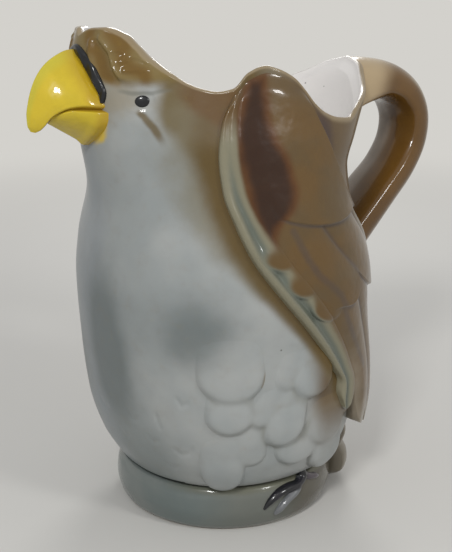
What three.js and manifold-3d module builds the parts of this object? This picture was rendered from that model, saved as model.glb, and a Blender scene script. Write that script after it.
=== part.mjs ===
// An eagle-shaped porcelain water jug: a hollow slip-cast body that opens from the crown of the
// head round to the handle, with wings, leg feathers, tail, feet, beak, eyes, foot ring and handle
// luted on as pieces of their own.
// Millimetres, +Z up. The beak points along -X and the handle stands at +X.
import * as THREE from 'three';
import Module from 'manifold-3d';

const wasm = await Module();
wasm.setup();

// Overall form. Reaches are measured from the upright axis of the foot.
const jugHeight = 178;
const breastReach = 56;
const backReach = 49.5;
const sideReach = 52;
const wallThickness = 3;
const jointGap = 0.35;
const plateGap = 0.5;

// Foot ring.
const footHeight = 17;
const footRadius = 42;
const footWall = 6;
const footForward = 1.2;

// Head.
const headLength = 47;
const headWidth = 46;
const headSetBack = 18;
const headForward = breastReach - headSetBack;
const headBlend = 14;
const browRise = 1.6;
const browFade = 14;
const eyeSocketDepth = 1.1;
const eyeSocketReach = 8;

// Beak and the black band of bare skin behind it.
const beakLength = 28;
const beakSeat = 11.5;
const beakHalfWidth = 12.3;
const bandWidth = 3.2;
const bandRise = 0.9;

// Eyes.
const eyeLength = 4.7;
const eyeHeight = 3.7;
const eyeRise = 0.9;

// Wings.
const wingRimDrop = 2.4;
const wingEdgeRise = 3;
const wingGrooveRise = 1.1;
const featherRise = 1.9;
const featherStep = 1.1;
const wingTipStandOff = 3.4;

// Leg feathers and tail.
const legFeatherRise = 1.2;
const legFeatherStep = 1.8;
const tailRise = 2.4;
const tailStandOut = 7.7;
const tailRib = 0.9;

// Feet.
const toeWidth = 4;
const toeRise = 2.2;

// Handle.
const handleReach = 97.5;
const handleThickness = 13;
const handleWidth = 23;
const handleRidge = 0.7;

// Working sizes that no piece shows.
const searchReach = 2 * breastReach;
const searchStep = 4;
const slopeStep = 0.4;
const plugTop = 1.05 * jugHeight;

const rad = THREE.MathUtils.degToRad;
const { lerp, smoothstep, clamp } = THREE.MathUtils;

// Smooth curve without overshoot through points [place, value].
function smoothCurve(points) {
  const chords = points.slice(1).map(([x, y], i) => (y - points[i][1]) / (x - points[i][0]));
  const slopes = points.map((point, i) => {
    if (i === 0) return chords[0];
    if (i === points.length - 1) return chords[i - 1];
    const [before, after] = [chords[i - 1], chords[i]];
    return before * after <= 0 ? 0 : 2 * before * after / (before + after);
  });
  return (x) => {
    let i = 0;
    while (i < points.length - 2 && x > points[i + 1][0]) i += 1;
    const run = points[i + 1][0] - points[i][0];
    const t = clamp((x - points[i][0]) / run, 0, 1);
    const [y0, y1] = [points[i][1], points[i + 1][1]];
    const [early, late] = [slopes[i] * run - (y1 - y0), slopes[i + 1] * run - (y1 - y0)];
    return lerp(y0, y1, t) + t * (1 - t) * ((1 - t) * early - t * late);
  };
}

// Picks two columns of a table as a curve, scaled to the sizes that the shares follow.
function column(table, index, size, along = 1) {
  return smoothCurve(table.map((row) => [row[0] * along, row[index] * size]));
}

// Height on the jug, then how far the breast, the back and a side stand out there.
const bodyShares = [
  [0.096, 0.714, 0.788, 0.769],
  [0.124, 0.777, 0.848, 0.837],
  [0.169, 0.857, 0.909, 0.904],
  [0.253, 0.938, 0.970, 0.962],
  [0.365, 0.979, 1, 0.981],
  [0.506, 1, 0.980, 1],
  [0.590, 0.973, 0.929, 0.981],
  [0.663, 0.911, 0.820, 0.952],
  [0.730, 0.857, 0.790, 0.923],
  [0.787, 0.821, 0.895, 0.904],
  [0.843, 0.750, 1.020, 0.865],
  [0.888, 0.696, 1.111, 0.837],
  [0.927, 0.661, 1.212, 0.808],
  [1.040, 0.607, 1.333, 0.731],
];
const breastAt = column(bodyShares, 1, breastReach, jugHeight);
const backAt = column(bodyShares, 2, backReach, jugHeight);
const sideAt = column(bodyShares, 3, sideReach, jugHeight);
const plumpShare = 2.15;

// Height on the jug, then the head's length, its width and how far forward it sits.
const headShares = [
  [0.590, 0.085, 0.087, 1],
  [0.663, 0.340, 0.435, 1],
  [0.730, 0.638, 0.739, 0.987],
  [0.787, 0.830, 0.913, 0.961],
  [0.843, 0.957, 1, 0.947],
  [0.899, 1, 0.957, 0.947],
  [0.955, 0.979, 0.783, 0.961],
  [1, 0.851, 0.609, 0.987],
];
const headHalfLengthAt = column(headShares, 1, headLength / 2, jugHeight);
const headHalfWidthAt = column(headShares, 2, headWidth / 2, jugHeight);
const headForwardAt = column(headShares, 3, headForward, jugHeight);
const headStart = headShares[0][0] * jugHeight;

// Turn from the beak in degrees, then the height of the rim there.
const rimShares = [
  [0, 0.987], [5, 0.999], [9, 1], [14, 0.989], [19, 0.966], [24, 0.944], [31, 0.921], [37, 0.904],
  [44, 0.893], [51, 0.888], [58, 0.893], [65, 0.921], [73, 0.933], [79, 0.927], [87, 0.910],
  [92, 0.888], [97, 0.862], [103, 0.843], [111, 0.832], [121, 0.828], [130, 0.843], [142, 0.862],
  [152, 0.874], [162, 0.893], [171, 0.915], [180, 0.927],
];
const rimAt = column(rimShares, 1, jugHeight);

// Turn from the beak in degrees, then the height of the brow's lower edge.
const browShares = [[9, 0.983], [14, 0.938], [18, 0.904], [25, 0.904], [34, 0.916], [45, 0.927]];
const browAt = column(browShares, 1, jugHeight);
const browSpan = { first: 5, full: 10, fading: 30, last: 46 };

const eyeTurn = 23;
const eyeHeightShare = 0.871;

// How far a point lies outside the plain skin of the body and head.
function skinField(x, y, z) {
  const reach = x < 0 ? breastAt(z) : backAt(z);
  const side = sideAt(z);
  const [forward, aside] = [Math.abs(x) / reach, Math.abs(y) / side];
  const ratio = (forward ** plumpShare + aside ** plumpShare) ** (1 / plumpShare);
  const fromBody = (ratio - 1) * Math.min(reach, side);
  const level = Math.max(z, headStart);
  const [halfLength, halfWidth] = [headHalfLengthAt(level), headHalfWidthAt(level)];
  const spread = Math.hypot((x + headForwardAt(level)) / halfLength, y / halfWidth);
  const fromHead = (spread - 1) * Math.min(halfLength, halfWidth) + Math.max(headStart - z, 0);
  const overlap = Math.max(headBlend - Math.abs(fromBody - fromHead), 0) / headBlend;
  return Math.min(fromBody, fromHead) - overlap * overlap * headBlend / 4;
}

// The brow stands proud over the eye, and the eye lies in a shallow socket under it.
function faceRelief(turn, z) {
  const away = Math.abs(turn);
  const above = z - browAt(away);
  const across = smoothstep(away, browSpan.first, browSpan.full)
    * (1 - smoothstep(away, browSpan.fading, browSpan.last));
  const brow = smoothstep(above, -browRise, browRise) * (1 - 0.6 * smoothstep(above, 0, browFade));
  const eyeAside = (away - eyeTurn) / eyeTurn * headWidth / 2;
  const fromEye = Math.hypot(eyeAside, z - eyeHeightShare * jugHeight);
  const socket = 1 - smoothstep(fromEye, 0, eyeSocketReach);
  return across * browRise * brow - eyeSocketDepth * socket;
}

function radiusWhere(outside) {
  let radius = searchReach;
  let step = searchStep;
  while (radius > step && outside(radius)) radius -= step;
  for (let i = 0; i < 14; i += 1) {
    step /= 2;
    radius += outside(radius) ? -step : step;
  }
  return radius;
}

// Distance from the axis to the skin at a turn from the beak; a lift moves the skin outwards.
function skinRadius(turn, z, lift = 0) {
  const [c, s] = [-Math.cos(rad(turn)), -Math.sin(rad(turn))];
  const plain = radiusWhere((r) => skinField(c * r, s * r, z) > lift);
  return plain + (lift < 0 ? 0 : faceRelief(turn, z));
}

// A point of the skin, raised square to it. Turns from the beak count towards the eagle's left.
function skinPoint(turn, z, rise) {
  const r = skinRadius(turn, z);
  const [x, y] = [-Math.cos(rad(turn)) * r, -Math.sin(rad(turn)) * r];
  const slope = new THREE.Vector3(
    skinField(x + slopeStep, y, z) - skinField(x - slopeStep, y, z),
    skinField(x, y + slopeStep, z) - skinField(x, y - slopeStep, z),
    skinField(x, y, z + slopeStep) - skinField(x, y, z - slopeStep),
  ).normalize();
  return new THREE.Vector3(x, y, z).addScaledVector(slope, rise);
}

function radialPoint(turn, radius, z) {
  return new THREE.Vector3(-Math.cos(rad(turn)) * radius, -Math.sin(rad(turn)) * radius, z);
}

// Even or hand-spaced steps from one value to another, both ends included.
function steps(count, first = 0, last = 1) {
  return Array.from({ length: count + 1 }, (unused, i) => lerp(first, last, i / count));
}

// Turns the triangles round where a mesh came out inside out.
function facingOut(geometry) {
  const index = geometry.index.array;
  const [a, b, c] = [new THREE.Vector3(), new THREE.Vector3(), new THREE.Vector3()];
  let volume = 0;
  for (let i = 0; i < index.length; i += 3) {
    a.fromBufferAttribute(geometry.attributes.position, index[i]);
    b.fromBufferAttribute(geometry.attributes.position, index[i + 1]);
    c.fromBufferAttribute(geometry.attributes.position, index[i + 2]);
    volume += a.dot(b.cross(c));
  }
  if (volume < 0) {
    for (let i = 0; i < index.length; i += 3) [index[i], index[i + 1]] = [index[i + 1], index[i]];
  }
  return geometry;
}

// Closed solid through rings of points, each ring with as many points as the next. The diagonals
// of a ring's second half mirror those of its first, so that the jug's two sides match. Its two
// ends are closed by strips that join a ring's first half to its second.
function loftRings(rings) {
  const count = rings[0].length;
  const index = [];
  for (let i = 0; i < rings.length - 1; i += 1) {
    for (let j = 0; j < count; j += 1) {
      const next = (j + 1) % count;
      const [a, b] = [i * count + j, i * count + next];
      if (j < count / 2) index.push(a, b, b + count, a, b + count, a + count);
      else index.push(a, b, a + count, b, b + count, a + count);
    }
  }
  const capEnd = (start, flip) => {
    for (let j = 0; j < count / 2 - 1; j += 1) {
      const [a, b, c, d] = [j, j + 1, count - 2 - j, count - 1 - j].map((k) => start + k);
      const faces = c === b ? [[a, b, d]] : [[a, b, c], [a, c, d]];
      for (const [p, q, r] of faces) index.push(...(flip ? [q, p, r] : [p, q, r]));
    }
  };
  capEnd(0, true);
  capEnd((rings.length - 1) * count, false);
  const geometry = new THREE.BufferGeometry();
  const places = rings.flat().flatMap((p) => [p.x, p.y, p.z]);
  geometry.setAttribute('position', new THREE.BufferAttribute(new Float32Array(places), 3));
  geometry.setIndex(new THREE.BufferAttribute(new Uint32Array(index), 1));
  return facingOut(geometry);
}

function toSolid(geometry) {
  const vertProperties = new Float32Array(geometry.attributes.position.array);
  const triVerts = new Uint32Array(geometry.index.array);
  return new wasm.Manifold(new wasm.Mesh({ numProp: 3, vertProperties, triVerts }));
}

function toGeometry(solid) {
  const { vertProperties, triVerts } = solid.getMesh();
  const geometry = new THREE.BufferGeometry();
  geometry.setAttribute('position', new THREE.BufferAttribute(new Float32Array(vertProperties), 3));
  geometry.setIndex(new THREE.BufferAttribute(new Uint32Array(triVerts), 1));
  return geometry;
}

function mirrored(geometry) {
  return facingOut(geometry.clone().scale(1, -1, 1));
}

// Body shell. The columns stand closer together round the face.
const faceTurn = 48;
const halfColumns = [...steps(12, 0, faceTurn), ...steps(15, faceTurn, 180).slice(1)];
const columns = [...halfColumns, ...halfColumns.slice(1, -1).reverse().map((turn) => -turn)];
const shellBottom = footHeight + jointGap;
const shellFloor = shellBottom + wallThickness;
const outerRows = 21;
const innerRows = 9;
const rowsOverRim = 4;

function ringAt(radiusOf, heightOf) {
  return columns.map((turn) => radialPoint(turn, radiusOf(turn), heightOf(turn)));
}

function wallRing(share, lift, bottom) {
  const heightOf = (turn) => lerp(bottom, rimAt(Math.abs(turn)) - wallThickness / 2, share);
  return ringAt((turn) => skinRadius(turn, heightOf(turn), lift), heightOf);
}

// A ring of the rounded lip: across runs from the outer skin at 0 to the inner skin at 1.
function lipRing(across) {
  const drop = wallThickness / 2 * (1 - Math.sin(Math.PI * across));
  const inward = 0.5 - 0.5 * Math.cos(Math.PI * across);
  return ringAt((turn) => {
    const z = rimAt(Math.abs(turn)) - wallThickness / 2;
    return lerp(skinRadius(turn, z), skinRadius(turn, z, -wallThickness), inward);
  }, (turn) => rimAt(Math.abs(turn)) - drop);
}

function bodyShell() {
  const corner = wallThickness;
  const floorRing = (inset, z) => ringAt((turn) => skinRadius(turn, z, -wallThickness) - inset, () => z);
  return loftRings([
    ringAt((turn) => skinRadius(turn, shellBottom) - corner / 2, () => shellBottom),
    ...steps(outerRows).map((share) => wallRing(share, 0, shellBottom + corner / 2)),
    lipRing(0.25),
    lipRing(0.5),
    lipRing(0.75),
    ...steps(innerRows).map((share) => wallRing(1 - share, -wallThickness, shellFloor + corner)),
    floorRing(corner / 3, shellFloor + corner / 3),
    floorRing(corner, shellFloor),
  ]);
}

// The filled body, grown by the joint gap and drawn out past its foot and its rim: whatever is
// luted on is cut back to it.
function bodyPlug() {
  const grown = (heightOf) => ringAt((turn) => skinRadius(turn, heightOf(turn)) + jointGap, heightOf);
  const rimEdge = (turn) => rimAt(Math.abs(turn)) - wallThickness / 2;
  const bottom = shellBottom + wallThickness / 2;
  return loftRings([
    grown(() => shellBottom - footHeight / 2),
    grown(() => shellBottom),
    ...steps(outerRows).map((share) => grown((turn) => lerp(bottom, rimEdge(turn), share))),
    ...steps(rowsOverRim).slice(1).map((share) => grown((turn) => lerp(rimEdge(turn), plugTop, share))),
  ]);
}

// Height on the foot ring, then how far it stands out.
const footShares = [[0, 0.917], [0.176, 0.971], [0.5, 1], [0.765, 0.990], [1, 0.948]];
const footRadiusAt = column(footShares, 1, footRadius, footHeight);
const footTurns = 48;

function footProfile(grow) {
  return steps(8, 0, footHeight).map((z) => new THREE.Vector2(footRadiusAt(z) + grow, z));
}

function revolved(profile) {
  const closed = [...profile, profile[0]];
  const turned = new THREE.LatheGeometry(closed, footTurns).rotateX(Math.PI / 2);
  turned.translate(-footForward, 0, 0);
  return turned;
}

// Joins the first and last columns of a revolved profile, which lie on each other.
function weldedSeam(geometry, profileLength) {
  const rowLength = profileLength + 1;
  const places = [];
  for (let i = 0; i < footTurns; i += 1) {
    for (let j = 0; j < profileLength; j += 1) {
      places.push(new THREE.Vector3().fromBufferAttribute(geometry.attributes.position, i * rowLength + j));
    }
  }
  const index = [];
  for (let i = 0; i < footTurns; i += 1) {
    for (let j = 0; j < profileLength; j += 1) {
      const [right, up] = [((i + 1) % footTurns) * profileLength, (j + 1) % profileLength];
      const [a, b, c, d] = [i * profileLength + j, right + j, right + up, i * profileLength + up];
      index.push(a, b, c, a, c, d);
    }
  }
  const welded = new THREE.BufferGeometry().setFromPoints(places);
  welded.setIndex(new THREE.BufferAttribute(new Uint32Array(index), 1));
  return facingOut(welded);
}

function footRing() {
  const bore = footRadiusAt(0) - footWall;
  const innerSide = [new THREE.Vector2(bore, footHeight), new THREE.Vector2(bore, footHeight / 2)];
  const profile = [...footProfile(0), ...innerSide, new THREE.Vector2(bore, 0)];
  return weldedSeam(revolved(profile), profile.length);
}

function footPlug() {
  const turns = steps(footTurns - 1, 0, 360 - 360 / footTurns);
  const heights = [-footWall, ...steps(8, 0, footHeight), footHeight + jointGap];
  return loftRings(heights.map((z) => turns.map((turn) => {
    const point = radialPoint(turn, footRadiusAt(clamp(z, 0, footHeight)) + jointGap, z);
    return point.setX(point.x - footForward);
  })));
}

// Closed plate over the skin. Each row has outer points, raised by rise, and inner points that
// lie the plate gap off the skin.
function skinPlate(rowShares, acrossShares, place, rise) {
  return loftRings(rowShares.map((row) => {
    const outer = acrossShares.map((s) => {
      const { turn, z, along } = place(s, row);
      return skinPoint(turn, z, plateGap + rise(s, along));
    });
    const inner = acrossShares.map((s) => {
      const { turn, z } = place(s, row);
      return skinPoint(turn, z, plateGap);
    });
    return [...outer, ...inner.reverse()];
  }));
}

// Rows of overlapping feathers. Each tier ends in scallops that stand a step proud of the next one.
function featherRows(tiers) {
  return tiers.flatMap((tier, k) => steps(tier.rows).map((share) => ({ tier: k, share })));
}

// A row of round feather tips: 1 at the middle of a tip and 0 where two feathers meet.
function scallop(tier, s) {
  return Math.abs(Math.sin(Math.PI * (s * tier.feathers + tier.shift))) ** 0.6;
}

function tierEnd(tier, s) {
  return tier.end + tier.depth * (scallop(tier, s) - 1) * smoothstep(s, tier.clear, 2 * tier.clear + 0.02);
}

function tierPlace(tiers, s, row, stepShare) {
  const start = row.tier === 0 ? 0 : tierEnd(tiers[row.tier - 1], s) + stepShare;
  return lerp(start, tierEnd(tiers[row.tier], s), row.share);
}

// Wing outline: place along the wing, turn in degrees and height, down its front and back edges.
const wingFrontShares = [
  [0, 58, 0.876], [0.08, 53, 0.826], [0.16, 52, 0.775], [0.26, 53.5, 0.713], [0.36, 58, 0.652],
  [0.46, 64.5, 0.584], [0.57, 74, 0.517], [0.69, 86, 0.444], [0.80, 97, 0.376], [0.90, 106, 0.309],
  [1, 113, 0.242],
];
const wingBackShares = [
  [0, 91, 0.888], [0.10, 97, 0.826], [0.20, 103, 0.764], [0.30, 110, 0.702], [0.40, 119, 0.646],
  [0.50, 131, 0.590], [0.60, 144, 0.534], [0.70, 152, 0.455], [0.80, 155, 0.365], [0.90, 154, 0.270],
  [1, 148, 0.158],
];
const wingTiers = [
  { end: 0.38, depth: 0.05, feathers: 1.5, shift: 0.2, clear: 0.16, rows: 4 },
  { end: 0.52, depth: 0.07, feathers: 3.6, shift: 0.55, clear: 0.16, rows: 3 },
  { end: 0.66, depth: 0.07, feathers: 4.4, shift: 0.2, clear: 0.16, rows: 3 },
  { end: 1, depth: 0.07, feathers: 4.5, shift: 0.1, clear: 0.1, rows: 5 },
];
const wingStepShare = 0.012;
const wingShoulderShare = 0.25;
// Across the wing: the rolled front edge, the groove behind it, then the feathers.
const wingAcrossShares = [0, 0.03, 0.07, 0.11, 0.15, 0.19, ...steps(14, 0.24, 1)];
const wingEdge = { crest: 0.05, groove: 0.15, feathers: 0.22 };

function wingEdgeCurves(table) {
  return { turn: column(table, 1, 1), z: column(table, 2, jugHeight) };
}

function wing() {
  const [front, back] = [wingEdgeCurves(wingFrontShares), wingEdgeCurves(wingBackShares)];
  const rows = featherRows(wingTiers);
  const place = (s, row) => {
    const along = tierPlace(wingTiers, s, row, wingStepShare);
    const turn = lerp(front.turn(along), back.turn(along), s);
    const z = lerp(front.z(along), back.z(along), s);
    const topTurn = lerp(front.turn(0), back.turn(0), s);
    const toRim = rimAt(topTurn) - wingRimDrop - lerp(front.z(0), back.z(0), s);
    const nearTop = 1 - smoothstep(along, 0, wingShoulderShare);
    return { turn, z: z + toRim * nearTop, along: { value: along, row } };
  };
  const rise = (s, { value, row }) => {
    const tier = wingTiers[row.tier];
    const feathers = smoothstep(s, wingEdge.groove, wingEdge.feathers);
    const crest = 1 - smoothstep(Math.abs(s - wingEdge.crest), 0, wingEdge.crest + wingStepShare);
    const crown = 0.6 + 0.4 * scallop(tier, s);
    const plain = lerp(featherRise, featherRise * crown, smoothstep(value, wingShoulderShare, 0.4));
    const raised = plain + featherStep * row.share * row.share;
    const edge = lerp(wingGrooveRise, wingEdgeRise, crest);
    const standOff = wingTipStandOff * smoothstep(value, 0.7, 1) * smoothstep(s, 0.1, 0.8);
    return lerp(edge, raised, feathers) * lerp(0.5, 1, smoothstep(value, 0, 0.04)) + standOff;
  };
  return skinPlate(rows, wingAcrossShares, place, rise);
}

// Leg feathers, between the wing, the breast and the foot ring.
const legFrontShares = [
  [0, 57, 0.416], [0.25, 50, 0.337], [0.5, 46, 0.264], [0.75, 44, 0.185], [1, 46, 0.110],
];
const legBackShares = [
  [0, 83, 0.410], [0.25, 95, 0.337], [0.5, 104, 0.264], [0.75, 110, 0.185], [1, 109, 0.118],
];
const legTiers = [
  { end: 0.36, depth: 0.2, feathers: 2.1, shift: 0.4, clear: 0.01, rows: 3 },
  { end: 0.68, depth: 0.2, feathers: 2.9, shift: 0.15, clear: 0.01, rows: 3 },
  { end: 1, depth: 0.16, feathers: 2.6, shift: 0.35, clear: 0.01, rows: 3 },
];
const legStepShare = 0.02;

function legFeathers() {
  const [front, back] = [wingEdgeCurves(legFrontShares), wingEdgeCurves(legBackShares)];
  const rows = featherRows(legTiers);
  const place = (s, row) => {
    const along = tierPlace(legTiers, s, row, legStepShare);
    return {
      turn: lerp(front.turn(along), back.turn(along), s),
      z: lerp(front.z(along), back.z(along), s),
      along: row,
    };
  };
  const rise = (s, row) => {
    const crown = 0.5 + 0.5 * scallop(legTiers[row.tier], s);
    const inward = smoothstep(s, 0, 0.08) * (1 - smoothstep(s, 0.92, 1));
    return legFeatherRise * lerp(0.5, 1, inward) + legFeatherStep * crown * row.share * inward;
  };
  return skinPlate(rows, steps(14), place, rise);
}

// Tail: height, half the turn it spans in degrees, and how far it stands out from what is under it.
const tailShares = [
  [0.015, 36, 0.52], [0.034, 40, 0.91], [0.070, 42, 1], [0.115, 40, 0.84], [0.145, 32, 0.56],
  [0.175, 22, 0.54], [0.230, 19, 0.41], [0.300, 19, 0.33], [0.360, 17, 0.26], [0.400, 12, 0.18],
];
const tailFeathers = 5;

function tail(cutters) {
  const halfTurnAt = column(tailShares, 1, 1, jugHeight);
  const standOutAt = column(tailShares, 2, tailStandOut, jugHeight);
  const reachAt = (z) => standOutAt(z) + (z < footHeight ? footRadiusAt(z) - footForward : backAt(z));
  const bottom = tailShares[0][0] * jugHeight;
  const top = tailShares[tailShares.length - 1][0] * jugHeight;
  const across = steps(15, -1, 1);
  const rings = steps(13, bottom, top).map((z) => {
    const outer = across.map((s) => {
      const rib = tailRib * Math.abs(Math.cos(Math.PI * tailFeathers * s / 2)) ** 0.6;
      const roundEdge = tailRise * (1 - Math.sqrt(1 - s * s * 0.99));
      return radialPoint(180 + s * halfTurnAt(z), reachAt(z) + rib - roundEdge, z);
    });
    const inner = across.map((s) => radialPoint(180 + s * halfTurnAt(z), footRadius / 2, z));
    return [...outer, ...inner.reverse()];
  });
  return cutBack(loftRings(rings), cutters);
}

// Takes the filled neighbours out of a piece and keeps the largest solid that is left.
function cutBack(geometry, cutters) {
  let solid = toSolid(geometry);
  for (const cutter of cutters) solid = solid.subtract(cutter);
  const bodies = solid.decompose().sort((a, b) => b.volume() - a.volume());
  return toGeometry(bodies[0]);
}

// Toes: each a row of turn in degrees, height and width share, from the leg to the claw.
const toeShares = [
  [[95, 0.112, 1], [94, 0.080, 1.05], [89, 0.061, 1], [82, 0.050, 0.85], [75, 0.031, 0.35]],
  [[95, 0.112, 0.9], [95, 0.076, 1], [92, 0.048, 0.95], [87, 0.029, 0.8], [82, 0.014, 0.35]],
  [[95, 0.112, 0.8], [99, 0.085, 0.9], [104, 0.075, 0.8], [109, 0.066, 0.35]],
];

function standRadius(z) {
  return z < footHeight ? footRadiusAt(z) : footRadiusAt(footHeight);
}

function toe(places) {
  const centres = places.map(([turn, share]) => {
    const centre = radialPoint(turn, standRadius(share * jugHeight), share * jugHeight);
    return centre.setX(centre.x - footForward);
  });
  const path = new THREE.CatmullRomCurve3(centres);
  const widthAt = smoothCurve(places.map((p, i) => [i / (places.length - 1), p[2] * toeWidth / 2]));
  const rings = steps(8).map((t) => {
    const centre = path.getPoint(t);
    const along = path.getTangent(t);
    const out = new THREE.Vector3(centre.x + footForward, centre.y, 0).normalize();
    const side = new THREE.Vector3().crossVectors(along, out).normalize();
    const half = widthAt(t);
    return steps(7, 0, 2 * Math.PI * 7 / 8).map((angle) => centre.clone()
      .addScaledVector(side, half * Math.cos(angle))
      .addScaledVector(out, Math.max(half, toeRise * widthAt(t) / widthAt(0)) * Math.sin(angle)));
  });
  return toSolid(loftRings(rings));
}

function foot() {
  const toes = toeShares.map(toe);
  return toGeometry(toes.reduce((whole, one) => whole.add(one)));
}

// Handle: centre line as reach and height, then the shares of its thickness and width.
const handleShares = [
  [0.500, 0.862, 1.35, 1.20], [0.640, 0.879, 1.25, 1.15], [0.775, 0.873, 1.08, 1.02],
  [0.880, 0.843, 1, 1], [0.933, 0.792, 1, 1], [0.926, 0.732, 1, 1], [0.862, 0.671, 1, 1.02],
  [0.760, 0.616, 1.02, 1.08], [0.640, 0.552, 1.08, 1.12], [0.500, 0.478, 1.2, 1.15],
];

function handle(cutters) {
  const points = handleShares.map(([reach, height]) => (
    new THREE.Vector3(reach * handleReach, 0, height * jugHeight)));
  const path = new THREE.CatmullRomCurve3(points, false, 'centripetal');
  const places = handleShares.map((row, i) => i / (handleShares.length - 1));
  const thicknessAt = smoothCurve(handleShares.map((row, i) => [places[i], row[2] * handleThickness]));
  const widthAt = smoothCurve(handleShares.map((row, i) => [places[i], row[3] * handleWidth]));
  const rings = steps(21).map((t) => {
    const centre = path.getPoint(t);
    const along = path.getTangent(t);
    const out = new THREE.Vector3(along.z, 0, -along.x).multiplyScalar(-1);
    return steps(15, 0, 2 * Math.PI * 15 / 16).map((angle) => {
      const [c, s] = [Math.cos(angle), Math.sin(angle)];
      const across = Math.sign(s) * Math.abs(s) ** 0.85 * widthAt(t) / 2;
      const ridge = c < 0 ? handleRidge * (1 - Math.abs(s)) : 0;
      const depth = Math.sign(c) * Math.abs(c) ** 0.85 * thicknessAt(t) / 2 - ridge;
      return centre.clone().addScaledVector(out, depth).setY(across);
    });
  });
  return cutBack(loftRings(rings), cutters);
}

// Beak stations as shares of its length and of the jug's height: the keel, the mouth's edge, the
// half width and how sharp the keel is. The lower half's keel points down. The beak is seated in
// the front of the head.
const beakRoot = headForward + headLength / 2 - beakSeat;
const upperBeakShares = [
  [0, 0.966, 0, 0.850, 0.92, 1.35], [0.267, 0.962, 0.267, 0.853, 1, 1.35],
  [0.443, 0.960, 0.365, 0.855, 0.97, 1.5], [0.610, 0.950, 0.471, 0.857, 0.88, 1.7],
  [0.769, 0.932, 0.582, 0.856, 0.76, 1.9], [0.894, 0.904, 0.688, 0.850, 0.60, 2],
  [0.967, 0.872, 0.763, 0.841, 0.43, 2], [0.997, 0.846, 0.813, 0.828, 0.28, 2],
  [0.992, 0.829, 0.861, 0.819, 0.16, 2], [0.955, 0.817, 0.905, 0.815, 0.06, 2],
];
const lowerBeakShares = [
  [0, 0.783, 0, 0.849, 1.02, 2.6], [0.267, 0.784, 0.267, 0.851, 1.02, 2.6],
  [0.387, 0.797, 0.401, 0.852, 0.92, 2.4], [0.537, 0.811, 0.549, 0.852, 0.76, 2.2],
  [0.666, 0.823, 0.666, 0.846, 0.52, 2], [0.733, 0.829, 0.738, 0.838, 0.24, 2],
];

function beakRings(table, grow) {
  return table.map(([topReach, topHeight, lowReach, lowHeight, half, keel]) => {
    const top = new THREE.Vector3(-beakRoot - topReach * beakLength, 0, topHeight * jugHeight);
    const low = new THREE.Vector3(-beakRoot - lowReach * beakLength, 0, lowHeight * jugHeight);
    const up = top.clone().sub(low).normalize();
    top.addScaledVector(up, grow);
    low.addScaledVector(up, -grow);
    const side = steps(6, 0, 1).map((f) => {
      const width = (1 - f ** keel) * Math.min(1, 0.7 + 3 * f) * (half * beakHalfWidth + grow);
      return low.clone().lerp(top, f).setY(width);
    });
    const opposite = side.slice(1, -1).reverse().map((p) => p.clone().setY(-p.y));
    const underneath = side[0].clone().setY(-side[0].y);
    return [...side, ...opposite, underneath];
  });
}

function beak(table, cutters) {
  return cutBack(loftRings(beakRings(table, 0)), cutters);
}

// How far round the face one degree of turn reaches.
const turnSize = 2 * Math.PI * (headForward + headLength / 2) / 360;

// The dark band runs from the mouth's corner over the beak: turn in degrees, height, width share.
const bandShares = [
  [-11.5, 0.868, 0.3], [-11.6, 0.887, 0.9], [-9.4, 0.912, 1], [-6.6, 0.936, 1], [-3.6, 0.954, 1],
  [0, 0.962, 1], [3.6, 0.954, 1], [6.6, 0.936, 1], [9.4, 0.912, 1], [11.6, 0.887, 0.9],
  [11.5, 0.868, 0.3],
];

function beakBand(cutters) {
  const points = bandShares.map(([turn, share]) => new THREE.Vector3(turn, share * jugHeight, 0));
  const path = new THREE.CatmullRomCurve3(points);
  const places = bandShares.map((row, i) => [i / (bandShares.length - 1), row[2] * bandWidth]);
  const widthAt = smoothCurve(places);
  const across = [-0.5, -0.25, 0.25, 0.5];
  const rings = steps(26).map((t) => {
    const middle = path.getPoint(t);
    const along = path.getTangent(t);
    const slant = new THREE.Vector2(-along.y, along.x * turnSize).normalize();
    const strip = (s, rise) => {
      const turn = middle.x + slant.x * s * widthAt(t) / turnSize;
      return skinPoint(turn, middle.y + slant.y * s * widthAt(t), plateGap + rise);
    };
    const outer = across.map((s) => strip(s, Math.abs(s) < 0.4 ? bandRise : 0.6 * bandRise));
    return [...outer, ...across.map((s) => strip(s, 0)).reverse()];
  });
  return cutBack(loftRings(rings), cutters);
}

function eye() {
  const outline = (size, rise) => steps(15, 0, 2 * Math.PI * 15 / 16).map((angle) => {
    const turn = eyeTurn + size * eyeLength / 2 * Math.cos(angle) / turnSize;
    const z = eyeHeightShare * jugHeight + size * eyeHeight / 2 * Math.sin(angle);
    return skinPoint(turn, z, plateGap + rise);
  });
  const domeShares = [[1, -1], [1, 0.35], [0.72, 0.85], [0.3, 1]];
  return loftRings(domeShares.map(([size, rise]) => outline(size, rise * eyeRise)));
}

const jug = new THREE.Group();

function addPiece(name, geometry, color, roughness) {
  geometry.computeVertexNormals();
  const glaze = new THREE.MeshStandardMaterial({ color, roughness, metalness: 0 });
  const mesh = new THREE.Mesh(geometry, glaze);
  mesh.name = name;
  jug.add(mesh);
}

function addPair(name, geometry, color, roughness, cutters = []) {
  addPiece(`${name}_left`, cutBack(geometry, cutters), color, roughness);
  addPiece(`${name}_right`, cutBack(mirrored(geometry), cutters), color, roughness);
}

const bodyCutter = toSolid(bodyPlug());
const footCutter = toSolid(footPlug());
const upperBeakCutter = toSolid(loftRings(beakRings(upperBeakShares, jointGap)));

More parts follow.
